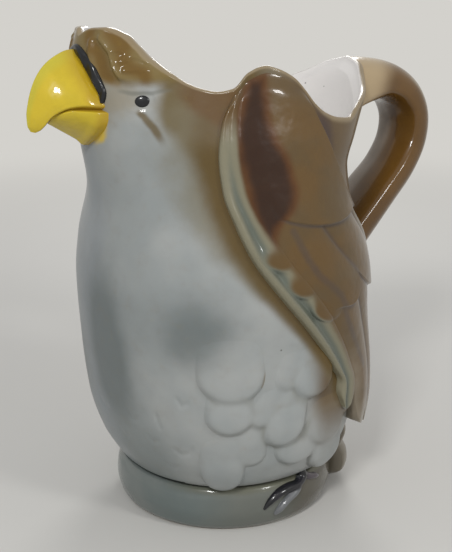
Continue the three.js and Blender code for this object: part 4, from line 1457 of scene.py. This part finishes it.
    def head_masks(self, away: Array, z: Array, below_rim: Array) -> Masks:
        """The stains of the head.

        Args:
            away: turns away from the beak, to either side.
            z: heights.
            below_rim: how far below the rim each point lies.

        Returns:
            The masks by name.
        """
        paths = (self.nape_line, self.streak, self.brow_line, self.ridges[0])
        (nape, _), (streak, place), (line, line_place), (ridge, _) = (
            distance_to_path(away, z, path, self.degree) for path in paths)
        crown = smoothstep(z - SmoothCurve(self.crown_edge)(away), *self.crown_fade)
        crown = crown * falling(away, *self.crown_end)
        darker = np.maximum(bell(ridge - self.crown_line, self.crown_line_width),
                            0.9 * smoothstep(away, *self.crown_rear))
        nape = np.maximum(falling(nape, *self.nape_width), falling(below_rim, *self.nape_from_rim))
        tan = smoothstep(z - SmoothCurve(self.tan_edge)(away), *self.tan_fade)
        streak = falling(streak / lerp(*self.streak_grows, place), *self.streak_width)
        paint = smoothstep(SmoothCurve(self.beak_edge)(z) - away, *self.beak_paint_fade)
        return {
            "crown": crown,
            "crown_brown": crown * darker,
            "nape_brown": nape * smoothstep(away, *self.nape_start) * falling(away, *self.nape_end),
            "tan_cheek": tan * smoothstep(away, *self.tan_start) * falling(away, *self.tan_end),
            "streak": streak * smoothstep(place, *self.streak_start) * falling(place, *self.streak_end),
            "brow_line": falling(line, *self.brow_line_width) * middle_bump(line_place),
            "warm_face": strength_at(away, z, self.face_spot, self.degree),
            "beak_paint": paint * smoothstep(z, *self.beak_paint_start) * falling(z, *self.beak_paint_end),
        }


def strength_at(turn: Array, z: Array, spot: Spot, degree: float) -> Array:
    """A soft round spot of stain.

    Args:
        turn: turns from the beak.
        z: heights.
        spot: the spot's turn, height, half width and half height.
        degree: how many millimetres one degree is.

    Returns:
        Its strength from 0 to 1.
    """
    centre, level, width, height = spot
    return bell((turn - centre) * degree, width) * bell(z - level, height)


@dataclass
class FootRing:
    """The rounded ring that the jug stands on, hollow underneath, with a bare standing rim."""

    wall: float = 6.0
    fillet: float = 1.2
    shares: Table = ((0, 0.917), (0.176, 0.971), (0.5, 1), (0.765, 0.990), (1, 0.948))
    columns: int = 256
    outer_rows: int = 44
    inner_rows: int = 20
    under_rows: int = 8
    bare_heights: Span = (0.15, 0.6)
    bare_from_bore: Span = (0.4, 0.9)
    side_turns: Span = (25, 75)
    tail_turns: Span = (74, 108)
    joint_turns: Span = (10, 50)
    joint_below: Span = (-3.5, -0.5)

    def radius_at(self, z: Array) -> Array:
        """How far the ring's outside stands out at a height."""
        return column(self.shares, 1, AXIS.foot_radius, AXIS.foot_height)(np.asarray(z, float))

    def build(self) -> None:
        """Builds and glazes the ring, from sections that each lie at one turn."""
        outside_z = AXIS.foot_height * even_and_dense(self.outer_rows)
        outside = self.radius_at(outside_z) - self.soften(outside_z)
        inside_z = AXIS.foot_height * even_and_dense(self.inner_rows)[::-1]
        inside = self.radius_at(0.0) - self.wall + self.soften(inside_z)
        under = np.linspace(0, 1, self.under_rows)[1:-1]
        radius = np.concatenate([outside, inside, lerp(inside[-1], outside[0], under)])
        z = np.concatenate([outside_z, inside_z, 0 * under])
        turns = np.linspace(-180, 180, self.columns, endpoint=False)
        turn, radius = np.meshgrid(turns, radius, indexing="ij")
        rings = radial(turn, radius, z)
        rings[..., 0] -= AXIS.foot_forward
        piece = ring_mesh("standing_ring", rings, self.masks(turn, rings[..., 2], radius), joined=True)
        dress(piece, RING_GLAZE, "foot_glaze", "foot_ring")

    def soften(self, z: Array) -> Array:
        """How far the ring's corners are rounded back."""
        t = np.clip(1 - np.minimum(z, AXIS.foot_height - z) / self.fillet, 0, 1)
        return self.fillet * (1 - np.sqrt(1 - t * t))

    def masks(self, turn: Array, z: Array, radius: Array) -> Masks:
        """Where each stain lies on the ring."""
        away = np.abs(turn)
        from_bore = radius - (self.radius_at(0.0) - self.wall)
        joint = smoothstep(z - AXIS.foot_height, *self.joint_below)
        return {
            "side_stain": 0.9 * smoothstep(away, *self.side_turns),
            "tail_stain": smoothstep(away, *self.tail_turns),
            "joint_line": joint * smoothstep(away, *self.joint_turns),
            "bare_clay": falling(z, *self.bare_heights) * smoothstep(from_bore, *self.bare_from_bore),
        }


@dataclass
class Tail:
    """The tail that comes down over the back of the foot ring, with ribs between its feathers."""

    rise: float = 2.4
    stand_out: float = 7.7
    rib: float = 1.0
    feathers: int = 5
    root_depth: float = 1.4
    hidden_depth: float = 0.6
    rib_roundness: float = 0.6
    foot_round: float = 1.6
    top_round: float = 14.0
    rib_shadow: Span = (0.15, 0.75)
    pale_heights: Span = (6, 30)
    shares: Table = (
        (0.015, 36, 0.52), (0.034, 40, 0.91), (0.070, 42, 1), (0.115, 40, 0.84), (0.145, 32, 0.56),
        (0.175, 22, 0.54), (0.230, 19, 0.41), (0.300, 19, 0.33), (0.360, 17, 0.26), (0.400, 12, 0.18),
    )
    columns: int = 150
    row_count: int = 130

    def build(self, ring: FootRing) -> None:
        """Builds and glazes the tail.

        Args:
            ring: the foot ring that it lies over.
        """
        half_turn = column(self.shares, 1, 1, SKIN.height)
        stand_out = column(self.shares, 2, self.stand_out, SKIN.height)
        low, high = (self.shares[k][0] * SKIN.height for k in (0, -1))
        z = lerp(low, high, even_and_dense(self.row_count))[:, None]
        s = lerp(-1, 1, even_and_dense(self.columns))[None, :]
        carrier = np.where(z < AXIS.foot_height, ring.radius_at(z) - AXIS.foot_forward, SKIN.back_at(z))
        rib = self.rib * np.abs(np.cos(np.pi * self.feathers * s / 2)) ** self.rib_roundness
        edge = self.rise * (1 - np.sqrt(1 - s * s * 0.999))
        from_end = np.minimum((z - low) / self.foot_round, (high - z) / self.top_round)
        ends = quarter_round(np.clip(from_end, 0, 1))
        reach = carrier + (stand_out(z) + rib - edge + self.root_depth) * ends - self.root_depth
        turn = 180 + s * half_turn(z)
        outer = radial(turn, reach, z)
        inner = radial(turn, carrier - self.root_depth - self.hidden_depth, z)
        masks = plate_masks({
            # Painted shade between the ribs.
            "rib_shadow": falling(rib, *self.rib_shadow) + 0 * z,
            "tip_pale": falling(z, *self.pale_heights) + 0 * s,
        })
        piece = ring_mesh("tail_fan", plate_rings(outer, inner), masks)
        dress(piece, TAIL_GLAZE, "tail_glaze", "tail")


@dataclass
class Foot:
    """The three toes that lie over the foot ring, fused as the clay is.

    A toe's stations give the turn from the beak, the share of the height and the share of the width.
    """

    side: Side
    width: float = 3.15
    rise: float = 2.0
    knuckle: float = 0.08
    knuckles: float = 9.0
    row_count: int = 60
    columns: int = 24
    voxel: float = 0.3
    smoothings: int = 4
    paint_edge: float = 1.2
    toes: tuple[Table, ...] = (
        ((97.5, 0.122, 1), (101, 0.103, 1.05), (101, 0.091, 1.1), (96.5, 0.082, 1.05), (90.3, 0.081, 1.15),
         (84.2, 0.076, 1.05), (79.2, 0.064, 0.8), (75.4, 0.047, 0.3)),
        ((99, 0.090, 0.9), (94.5, 0.072, 1.05), (88.6, 0.058, 1), (84.2, 0.042, 0.85), (81.5, 0.030, 0.4)),
        ((100.5, 0.098, 0.8), (105.2, 0.086, 0.9), (110, 0.080, 0.8), (114, 0.074, 0.35)),
    )

    def build(self, ring: FootRing) -> None:
        """Builds and glazes the foot.

        Args:
            ring: the foot ring that it lies over.
        """
        paths = [self.path(ring, toe) for toe in self.toes]
        parts = [ring_mesh(f"toe_{i}_{self.side.value}", self.rings(path, toe), {}, self.side)
                 for i, (path, toe) in enumerate(zip(paths, self.toes))]
        with bpy.context.temp_override(active_object=parts[0], selected_editable_objects=parts):
            bpy.ops.object.join()
        piece = parts[0]
        piece.name = f"toes_{self.side.value}"
        fuse = piece.modifiers.new("fuse", "REMESH")
        fuse.mode, fuse.voxel_size = "VOXEL", self.voxel * MM
        soften = piece.modifiers.new("soften", "SMOOTH")
        soften.factor, soften.iterations = 0.5, self.smoothings
        evaluated = piece.evaluated_get(bpy.context.evaluated_depsgraph_get())
        mesh = bpy.data.meshes.new_from_object(evaluated)
        piece.modifiers.clear()
        piece.data = mesh
        mesh.shade_smooth()
        self.paint(mesh, paths)
        dress(piece, CLAW_ENAMEL, "claw_enamel", f"foot_{self.side.value}")

    def path(self, ring: FootRing, toe: Table) -> Array:
        """The middle line of a toe, on the ring's outside."""
        turn, height, _ = np.array(toe, float).T
        z = height * SKIN.height
        points = radial(turn, ring.radius_at(np.minimum(z, AXIS.foot_height)), z)
        points[:, 0] -= AXIS.foot_forward
        return catmull_rom(points, np.linspace(0, 1, self.row_count))

    def rings(self, path: Array, toe: Table) -> Array:
        """Rings of points round a toe that narrows to its claw."""
        t = np.linspace(0, 1, self.row_count)[:, None]
        along = unit(np.gradient(path, axis=0))
        out = unit(np.stack([path[:, 0] + AXIS.foot_forward, path[:, 1], 0 * path[:, 2]], axis=1))
        aside = unit(np.cross(along, out))
        angle = np.linspace(0, 2 * np.pi, self.columns, endpoint=False)[None, :]
        share = stations(toe, 2)(t)
        half = share * self.width / 2 * (1 + self.knuckle * np.sin(self.knuckles * t))
        deep = np.maximum(half, self.rise * share)
        return (path[:, None, :] + aside[:, None, :] * (half * np.cos(angle))[..., None]
                + out[:, None, :] * (deep * np.sin(angle))[..., None])

    def paint(self, mesh: bpy.types.Mesh, paths: list[Array]) -> None:
        """Marks which toe each point of the fused foot belongs to."""
        points = np.zeros(len(mesh.vertices) * 3)
        mesh.vertices.foreach_get("co", points)
        points = points.reshape(-1, 3) / MM
        points[:, 0] -= AXIS.x
        points[:, 1] = -np.abs(points[:, 1])
        away = np.stack([np.linalg.norm(points[:, None] - path, axis=2).min(axis=1) for path in paths])
        for name, number in (("grey_toe", 1), ("side_toe", 2)):
            others = np.delete(away, number, axis=0).min(axis=0)
            add_mask(mesh, name, smoothstep(others - away[number], 0, self.paint_edge))


@dataclass
class Handle:
    """The strap handle, from the back of the rim down to the back.

    Its stations give shares of the reach behind the axis, the jug's height, the thickness and the width.
    Its outer face is domed and its inner face flat, each by a power of its roundness.
    """

    reach: float = 97.45
    thickness: float = 13.0
    width: float = 23.0
    ridge: float = 1.3
    ridge_sharpness: float = 1.5
    widest_share: float = 0.2
    outer_dome: float = 0.85
    inner_dome: float = 0.5
    outer_side: float = 0.85
    inner_side: float = 0.6
    root_depth: float = 1.4
    shares: Table = (
        (0.300, 0.794, 1.95, 1.25), (0.500, 0.859, 1.55, 1.20), (0.640, 0.877, 1.30, 1.15),
        (0.775, 0.874, 1.05, 1.04), (0.880, 0.843, 1, 1), (0.933, 0.792, 1, 1), (0.926, 0.732, 1, 1),
        (0.862, 0.671, 1, 1.02), (0.760, 0.616, 1.02, 1.08), (0.640, 0.552, 1.08, 1.12),
        (0.500, 0.478, 1.2, 1.15), (0.360, 0.404, 1.3, 1.15),
    )
    columns: int = 96
    row_count: int = 200
    root_slant: float = 0.05
    root_end: Span = (0.19, 0.32)
    inner_face: Span = (-0.1, 0.2)
    far_side: Span = (-0.05, 0.12)
    far_start: Span = (0.26, 0.34)
    line_start: Span = (0.3, 0.4)
    line_end: Span = (0.55, 0.75)
    line_width: float = 0.05
    # The painted sheen along the rounded edges of the outer face.
    pale_middle: float = 0.62
    pale_width: float = 0.16
    pale_start: Span = (0.24, 0.4)

    def build(self) -> None:
        """Builds and glazes the handle."""
        t = np.linspace(0, 1, self.row_count)
        points = [(row[0] * self.reach, 0, row[1] * SKIN.height) for row in self.shares]
        path = catmull_rom(np.array(points), t)
        thickness = stations(self.shares, 2, self.thickness)(t)[:, None]
        width = stations(self.shares, 3, self.width)(t)[:, None]
        along = unit(np.gradient(path, axis=0))
        out = np.stack([-along[:, 2], 0 * along[:, 1], along[:, 0]], axis=1)
        angle = np.linspace(0, 2 * np.pi, self.columns, endpoint=False)[None, :]
        c, s = np.cos(angle), np.sin(angle)
        inner = c < 0
        aside = np.sign(s) * np.abs(s) ** np.where(inner, self.inner_side, self.outer_side) * width / 2
        ridge = np.where(inner, self.ridge * (1 - np.abs(s)) ** self.ridge_sharpness, 0)
        middle = -self.widest_share * thickness
        dome = middle + (thickness / 2 - middle) * np.abs(c) ** self.outer_dome
        flat = middle - (thickness / 2 + middle) * np.abs(c) ** self.inner_dome
        depth = np.where(inner, flat, dome) - ridge
        rings = path[:, None, :] + out[:, None, :] * depth[..., None]
        rings[..., 1] = aside
        masks = capped_masks(self.masks(c + 0 * width, s + 0 * width, t[:, None] + 0 * c))
        piece = ring_mesh("strap_handle", SKIN.seated(capped(rings), self.root_depth), masks)
        dress(piece, HANDLE_GLAZE, "handle_glaze", "handle")

    def masks(self, c: Array, s: Array, t: Array) -> Masks:
        """Where each stain and the painted sheen lie on the handle.

        Args:
            c: 1 on the outer face and -1 on the inner face.
            s: -1 on the side that the camera sees and 1 on the other.
            t: 0 at the rim and 1 at the back.

        Returns:
            The masks by name.
        """
        inner = smoothstep(-c, *self.inner_face)
        line = bell(s + self.line_width, self.line_width)
        return {
            "root": falling(t + self.root_slant * (1 - c), *self.root_end),
            "far_half": inner * smoothstep(s, *self.far_side) * smoothstep(t, *self.far_start),
            "ridge_line": inner * line * smoothstep(t, *self.line_start) * falling(t, *self.line_end),
            # The painted sheen along the rounded edges of the outer face.
            "painted_edge_sheen": bell(c - self.pale_middle, self.pale_width) * smoothstep(t, *self.pale_start),
        }


@dataclass
class Beak:
    """The hooked beak's two halves, seated in the front of the head.

    Each station gives the keel's place as shares of the length and the height, the same for the mouth's
    edge, the share of the half width, and how square the section is towards the keel.
    """

    length: float = 28.0
    seat: float = 11.5
    half_width: float = 12.3
    root_depth: float = 1.6
    mouth_width: float = 0.82
    mouth_flare: float = 2.4
    culmen_part: Span = (0.72, 0.98)
    root_part: Span = (0.12, 0.42)
    mouth_part: Span = (0, 0.1)
    upper: Table = (
        (0, 0.966, 0, 0.850, 0.92, 1.35), (0.267, 0.962, 0.267, 0.853, 1, 1.35),
        (0.443, 0.960, 0.365, 0.855, 0.97, 1.5), (0.610, 0.950, 0.471, 0.857, 0.88, 1.7),
        (0.769, 0.932, 0.582, 0.856, 0.76, 1.9), (0.894, 0.904, 0.688, 0.850, 0.60, 2),
        (0.967, 0.872, 0.763, 0.841, 0.43, 2), (0.997, 0.846, 0.813, 0.828, 0.28, 2),
        (0.992, 0.829, 0.861, 0.819, 0.16, 2), (0.955, 0.817, 0.905, 0.815, 0.06, 2),
    )
    lower: Table = (
        (0, 0.783, 0, 0.853, 1.02, 2.6), (0.267, 0.784, 0.267, 0.856, 1.02, 2.6),
        (0.387, 0.797, 0.401, 0.857, 0.94, 2.4), (0.537, 0.811, 0.549, 0.858, 0.80, 2.2),
        (0.666, 0.823, 0.666, 0.853, 0.56, 2), (0.733, 0.829, 0.738, 0.843, 0.26, 2),
    )
    row_count: int = 110
    side_points: int = 34
    mouth_points: int = 18

    def build(self) -> None:
        """Builds and enamels both halves."""
        halves = (("beak_hook", "beak_upper", self.upper), ("beak_under", "beak_lower", self.lower))
        for name, node, table in halves:
            rings, f, t = self.rings(table)
            masks = capped_masks({
                "culmen": smoothstep(f, *self.culmen_part) * (table is self.upper),
                "base_orange": 0.9 * falling(t, *self.root_part),
                "mouth": falling(f, *self.mouth_part),
            })
            piece = ring_mesh(name, SKIN.seated(capped(rings), self.root_depth), masks)
            dress(piece, BEAK_ENAMEL, "beak_enamel", node)

    def rings(self, table: Table) -> tuple[Array, Array, Array]:
        """Rings round one half of the beak.

        Args:
            table: its stations.

        Returns:
            The points, how far each lies from the mouth's edge to the keel, and how far along.
        """
        t = np.linspace(0, 1, self.row_count)[:, None]
        top_x, top_z, low_x, low_z, half, square = (stations(table, k)(t) for k in range(6))
        f = even_and_dense(self.side_points)[None, :]
        flare = np.minimum(1, self.mouth_width + self.mouth_flare * f)
        width = (1 - f**square) * flare * half * self.half_width
        x = self.seat - SKIN.face_reach - lerp(low_x, top_x, f) * self.length
        side = np.stack([x, width, lerp(low_z, top_z, f) * SKIN.height], axis=-1)
        other = side[:, -2:0:-1] * np.array([1, -1, 1])
        across = np.linspace(-1, 1, self.mouth_points, endpoint=False)
        mouth = side[:, :1] * np.stack([1 + 0 * across, across, 1 + 0 * across], axis=-1)
        f_all = np.concatenate([f, f[:, -2:0:-1], 0 * across[None, :]], axis=1) + 0 * t
        return np.concatenate([side, other, mouth], axis=1), f_all, t + 0 * f_all


@dataclass
class BeakBand:
    """The raised black band of bare skin that runs over the beak from one corner of the mouth."""

    width: float = 4.0
    shift: float = 0.14
    rise: float = 1.1
    root_depth: float = 0.8
    hidden_depth: float = 0.3
    row_count: int = 220
    columns: int = 21
    lump: float = 0.1
    edge_lumps: float = 26.0
    top_lumps: float = 34.0
    slant_lumps: float = 5.0
    shares: Table = (
        (-11.5, 0.868, 0.3), (-11.6, 0.887, 0.9), (-9.4, 0.912, 1), (-6.6, 0.936, 1), (-3.6, 0.954, 1),
        (0, 0.962, 1), (3.6, 0.954, 1), (6.6, 0.936, 1), (9.4, 0.912, 1), (11.6, 0.887, 0.9),
        (11.5, 0.868, 0.3),
    )

    def build(self) -> None:
        """Builds and enamels the band."""
        t = np.linspace(0, 1, self.row_count)[:, None]
        degree = SKIN.face_degree
        turns, heights, _ = np.array(self.shares).T
        line = catmull_rom(np.stack([turns, heights * SKIN.height, 0 * turns], axis=1), t[:, 0])
        along = np.gradient(line, axis=0)
        slant = unit(np.stack([-along[:, 1], along[:, 0] * degree], axis=1))
        s = np.linspace(-0.5, 0.5, self.columns)[None, :]
        width = stations(self.shares, 2, self.width)(t) * (1 + self.lump * np.sin(self.edge_lumps * t + 1))
        turn = line[:, :1] + slant[:, :1] * (s - self.shift) * width / degree
        z = line[:, 1:2] + slant[:, 1:] * (s - self.shift) * width
        lumps = 1 + self.lump * np.sin(self.top_lumps * t + self.slant_lumps * s)
        dome = np.sqrt(1 - (2 * s) ** 4) * lumps
        outer = SKIN.point(turn, z, (self.rise + self.root_depth) * dome - self.root_depth)
        inner = SKIN.point(turn, z, -self.root_depth - self.hidden_depth)
        piece = ring_mesh("bare_skin_band", plate_rings(outer, inner), {})
        dress(piece, BLACK_ENAMEL, "dark_enamel", "beak_band")


@dataclass
class Eye:
    """A raised painted eye, a shallow dome that is longer than high."""

    side: Side
    length: float = 4.9
    height: float = 3.8
    rise: float = 0.9
    root_depth: float = 0.8
    sink: float = 0.1
    closed_share: float = 0.97
    columns: int = 40
    row_count: int = 16

    def build(self) -> None:
        """Builds and enamels the eye."""
        angle = np.linspace(0, 2 * np.pi, self.columns, endpoint=False)[None, :]
        lift = np.pi / 2 * np.linspace(0, 1, self.row_count)[:, None]
        size = np.vstack([[[1.0]], np.cos(lift * self.closed_share)])
        rise = np.vstack([[[-self.root_depth]], self.rise * np.sin(lift) - self.sink])
        turn = SKIN.eye_turn + size * self.length / 2 * np.cos(angle) / SKIN.face_degree
        z = SKIN.eye_height + size * self.height / 2 * np.sin(angle)
        rings = SKIN.point(turn, z, rise + 0 * turn)
        piece = ring_mesh(f"eye_dome_{self.side.value}", rings, {}, self.side)
        dress(piece, BLACK_ENAMEL, "dark_enamel", f"eye_{self.side.value}")


@dataclass(frozen=True)
class Softbox:
    """A soft lamp: where it stands and how large it is in millimetres, and its power in watts."""

    name: str
    place: Place
    size: float
    power: float


@dataclass
class Studio:
    """A pale floor, soft lamps and the camera at the photograph's viewing angle."""

    softboxes: tuple[Softbox, ...] = (
        Softbox("key_softbox", (-470, -420, 560), 130, 2.6),
        Softbox("fill_softbox", (170, -680, 480), 130, 1.5),
        Softbox("rear_softbox", (380, 460, 480), 220, 1.5),
    )
    camera_turn: float = 35.0
    camera_reach: float = 370.0
    camera_height: float = 188.5
    target_height: float = 85.0
    lens: float = 66.0
    sensor: float = 36.0
    floor_half: float = 3000.0
    floor_colour: str = "#cfcdc8"
    grain_colour: str = "#b9b7b2"
    grain_size: float = 60.0
    grain_share: float = 0.08
    floor_roughness: float = 0.85
    floor_shine: float = 0.2
    backdrop_colour: str = "#d3d1cc"
    fade_reaches: Span = (260, 900)
    world_colour: str = "#e4e6e9"
    world_strength: float = 0.5

    def build(self) -> None:
        """Builds the floor, the lamps, the world and the camera."""
        self.floor()
        for box in self.softboxes:
            self.lamp(box)
        self.world()
        self.camera()
        bpy.context.scene.view_settings.view_transform = "Standard"

    def floor(self) -> None:
        """A wide board, so that the jug's shadow lies soft on it."""
        half = self.floor_half * MM
        mesh = bpy.data.meshes.new("floor")
        corners = [(-half, -half, 0), (half, -half, 0), (half, half, 0), (-half, half, 0)]
        mesh.from_pydata(corners, [], [(0, 1, 2, 3)])
        mesh.materials.append(self.board_paint())
        board = bpy.data.objects.new("floor", mesh)
        bpy.context.scene.collection.objects.link(board)

    def board_paint(self) -> bpy.types.Material:
        """Matt paint with a slight grain, which fades into the backdrop far from the jug.

        Returns:
            The material.
        """
        paint = bpy.data.materials.new("matt_painted_board")
        paint.use_nodes = True
        tree = paint.node_tree
        tree.nodes.clear()
        place = add_node(tree, "TexCoord", {}, {}).outputs["Object"]
        grain = add_node(tree, "TexNoise", {
            "Scale": per_mm(self.grain_size), "Detail": 2.0}, {"Vector": place})
        share = add_node(tree, "MapRange", {"To Max": self.grain_share}, {"Value": grain.outputs["Fac"]})
        colour = mix(tree, share.outputs["Result"], linear(self.floor_colour), linear(self.grain_colour))
        board = add_node(tree, "BsdfPrincipled", {
            "Roughness": self.floor_roughness, "Specular IOR Level": self.floor_shine,
        }, {"Base Color": colour})
        away = add_node(tree, "VectorMath", {"operation": "LENGTH"}, {0: place})
        near, far = self.fade_reaches
        fade = add_node(tree, "MapRange", {
            "interpolation_type": "SMOOTHSTEP", "From Min": near * MM, "From Max": far * MM,
        }, {"Value": away.outputs["Value"]})
        seen = seen_directly(tree)
        both = add_node(tree, "Math", {"operation": "MULTIPLY"}, {0: fade.outputs["Result"], 1: seen})
        glow = add_node(tree, "Emission", {"Color": linear(self.backdrop_colour)}, {})
        surface = add_node(tree, "MixShader", {}, {
            0: both.outputs["Value"], 1: board.outputs["BSDF"], 2: glow.outputs["Emission"]})
        add_node(tree, "OutputMaterial", {}, {"Surface": surface.outputs["Shader"]})
        return paint

    def lamp(self, box: Softbox) -> None:
        """Adds a softbox that faces the jug.

        Args:
            box: its place, size and power.
        """
        light = bpy.data.lights.new(box.name, "AREA")
        light.size = box.size * MM
        light.energy = box.power
        lamp = bpy.data.objects.new(box.name, light)
        bpy.context.scene.collection.objects.link(lamp)
        self.aim(lamp, box.place)

    def aim(self, thing: Piece, place: Place) -> None:
        """Stands a thing at a place in millimetres from the foot and points it at the jug's middle.

        Args:
            thing: the lamp or the camera.
            place: where it stands.
        """
        spot = Vector(((place[0] + AXIS.x) * MM, place[1] * MM, place[2] * MM))
        target = Vector((AXIS.x * MM, 0, self.target_height * MM))
        thing.location = spot
        thing.rotation_mode = "QUATERNION"
        thing.rotation_quaternion = (target - spot).to_track_quat("-Z", "Y")

    def world(self) -> None:
        """An even pale room, of which the camera sees the backdrop's colour."""
        room = bpy.data.worlds.new("pale_room")
        room.use_nodes = True
        tree = room.node_tree
        tree.nodes.clear()
        even = add_node(tree, "Background", {
            "Color": linear(self.world_colour), "Strength": self.world_strength}, {})
        pale = add_node(tree, "Background", {"Color": linear(self.backdrop_colour)}, {})
        both = add_node(tree, "MixShader", {}, {
            0: seen_directly(tree), 1: even.outputs["Background"], 2: pale.outputs["Background"]})
        add_node(tree, "OutputWorld", {}, {"Surface": both.outputs["Shader"]})
        bpy.context.scene.world = room

    def camera(self) -> None:
        """The camera, off the eagle's left breast and a little above it."""
        data = bpy.data.cameras.new("camera")
        data.lens, data.sensor_width = self.lens, self.sensor
        camera = bpy.data.objects.new("camera", data)
        bpy.context.scene.collection.objects.link(camera)
        turn = math.radians(self.camera_turn)
        aside, away = math.sin(turn) * self.camera_reach, math.cos(turn) * self.camera_reach
        self.aim(camera, (-aside, -away, self.camera_height))
        bpy.context.scene.camera = camera


def main() -> None:
    """Builds the jug piece by piece, then the studio."""
    logging.basicConfig(level=logging.INFO, format="%(name)s: %(message)s")
    Body().build()
    ring = FootRing()
    ring.build()
    for side in Side:
        Wing(side).build()
        LegFeathers(side).build()
        Foot(side).build(ring)
        Eye(side).build()
    Tail().build(ring)
    Handle().build()
    Beak().build()
    BeakBand().build()
    Studio().build()


if __name__ == "__main__":
    main()
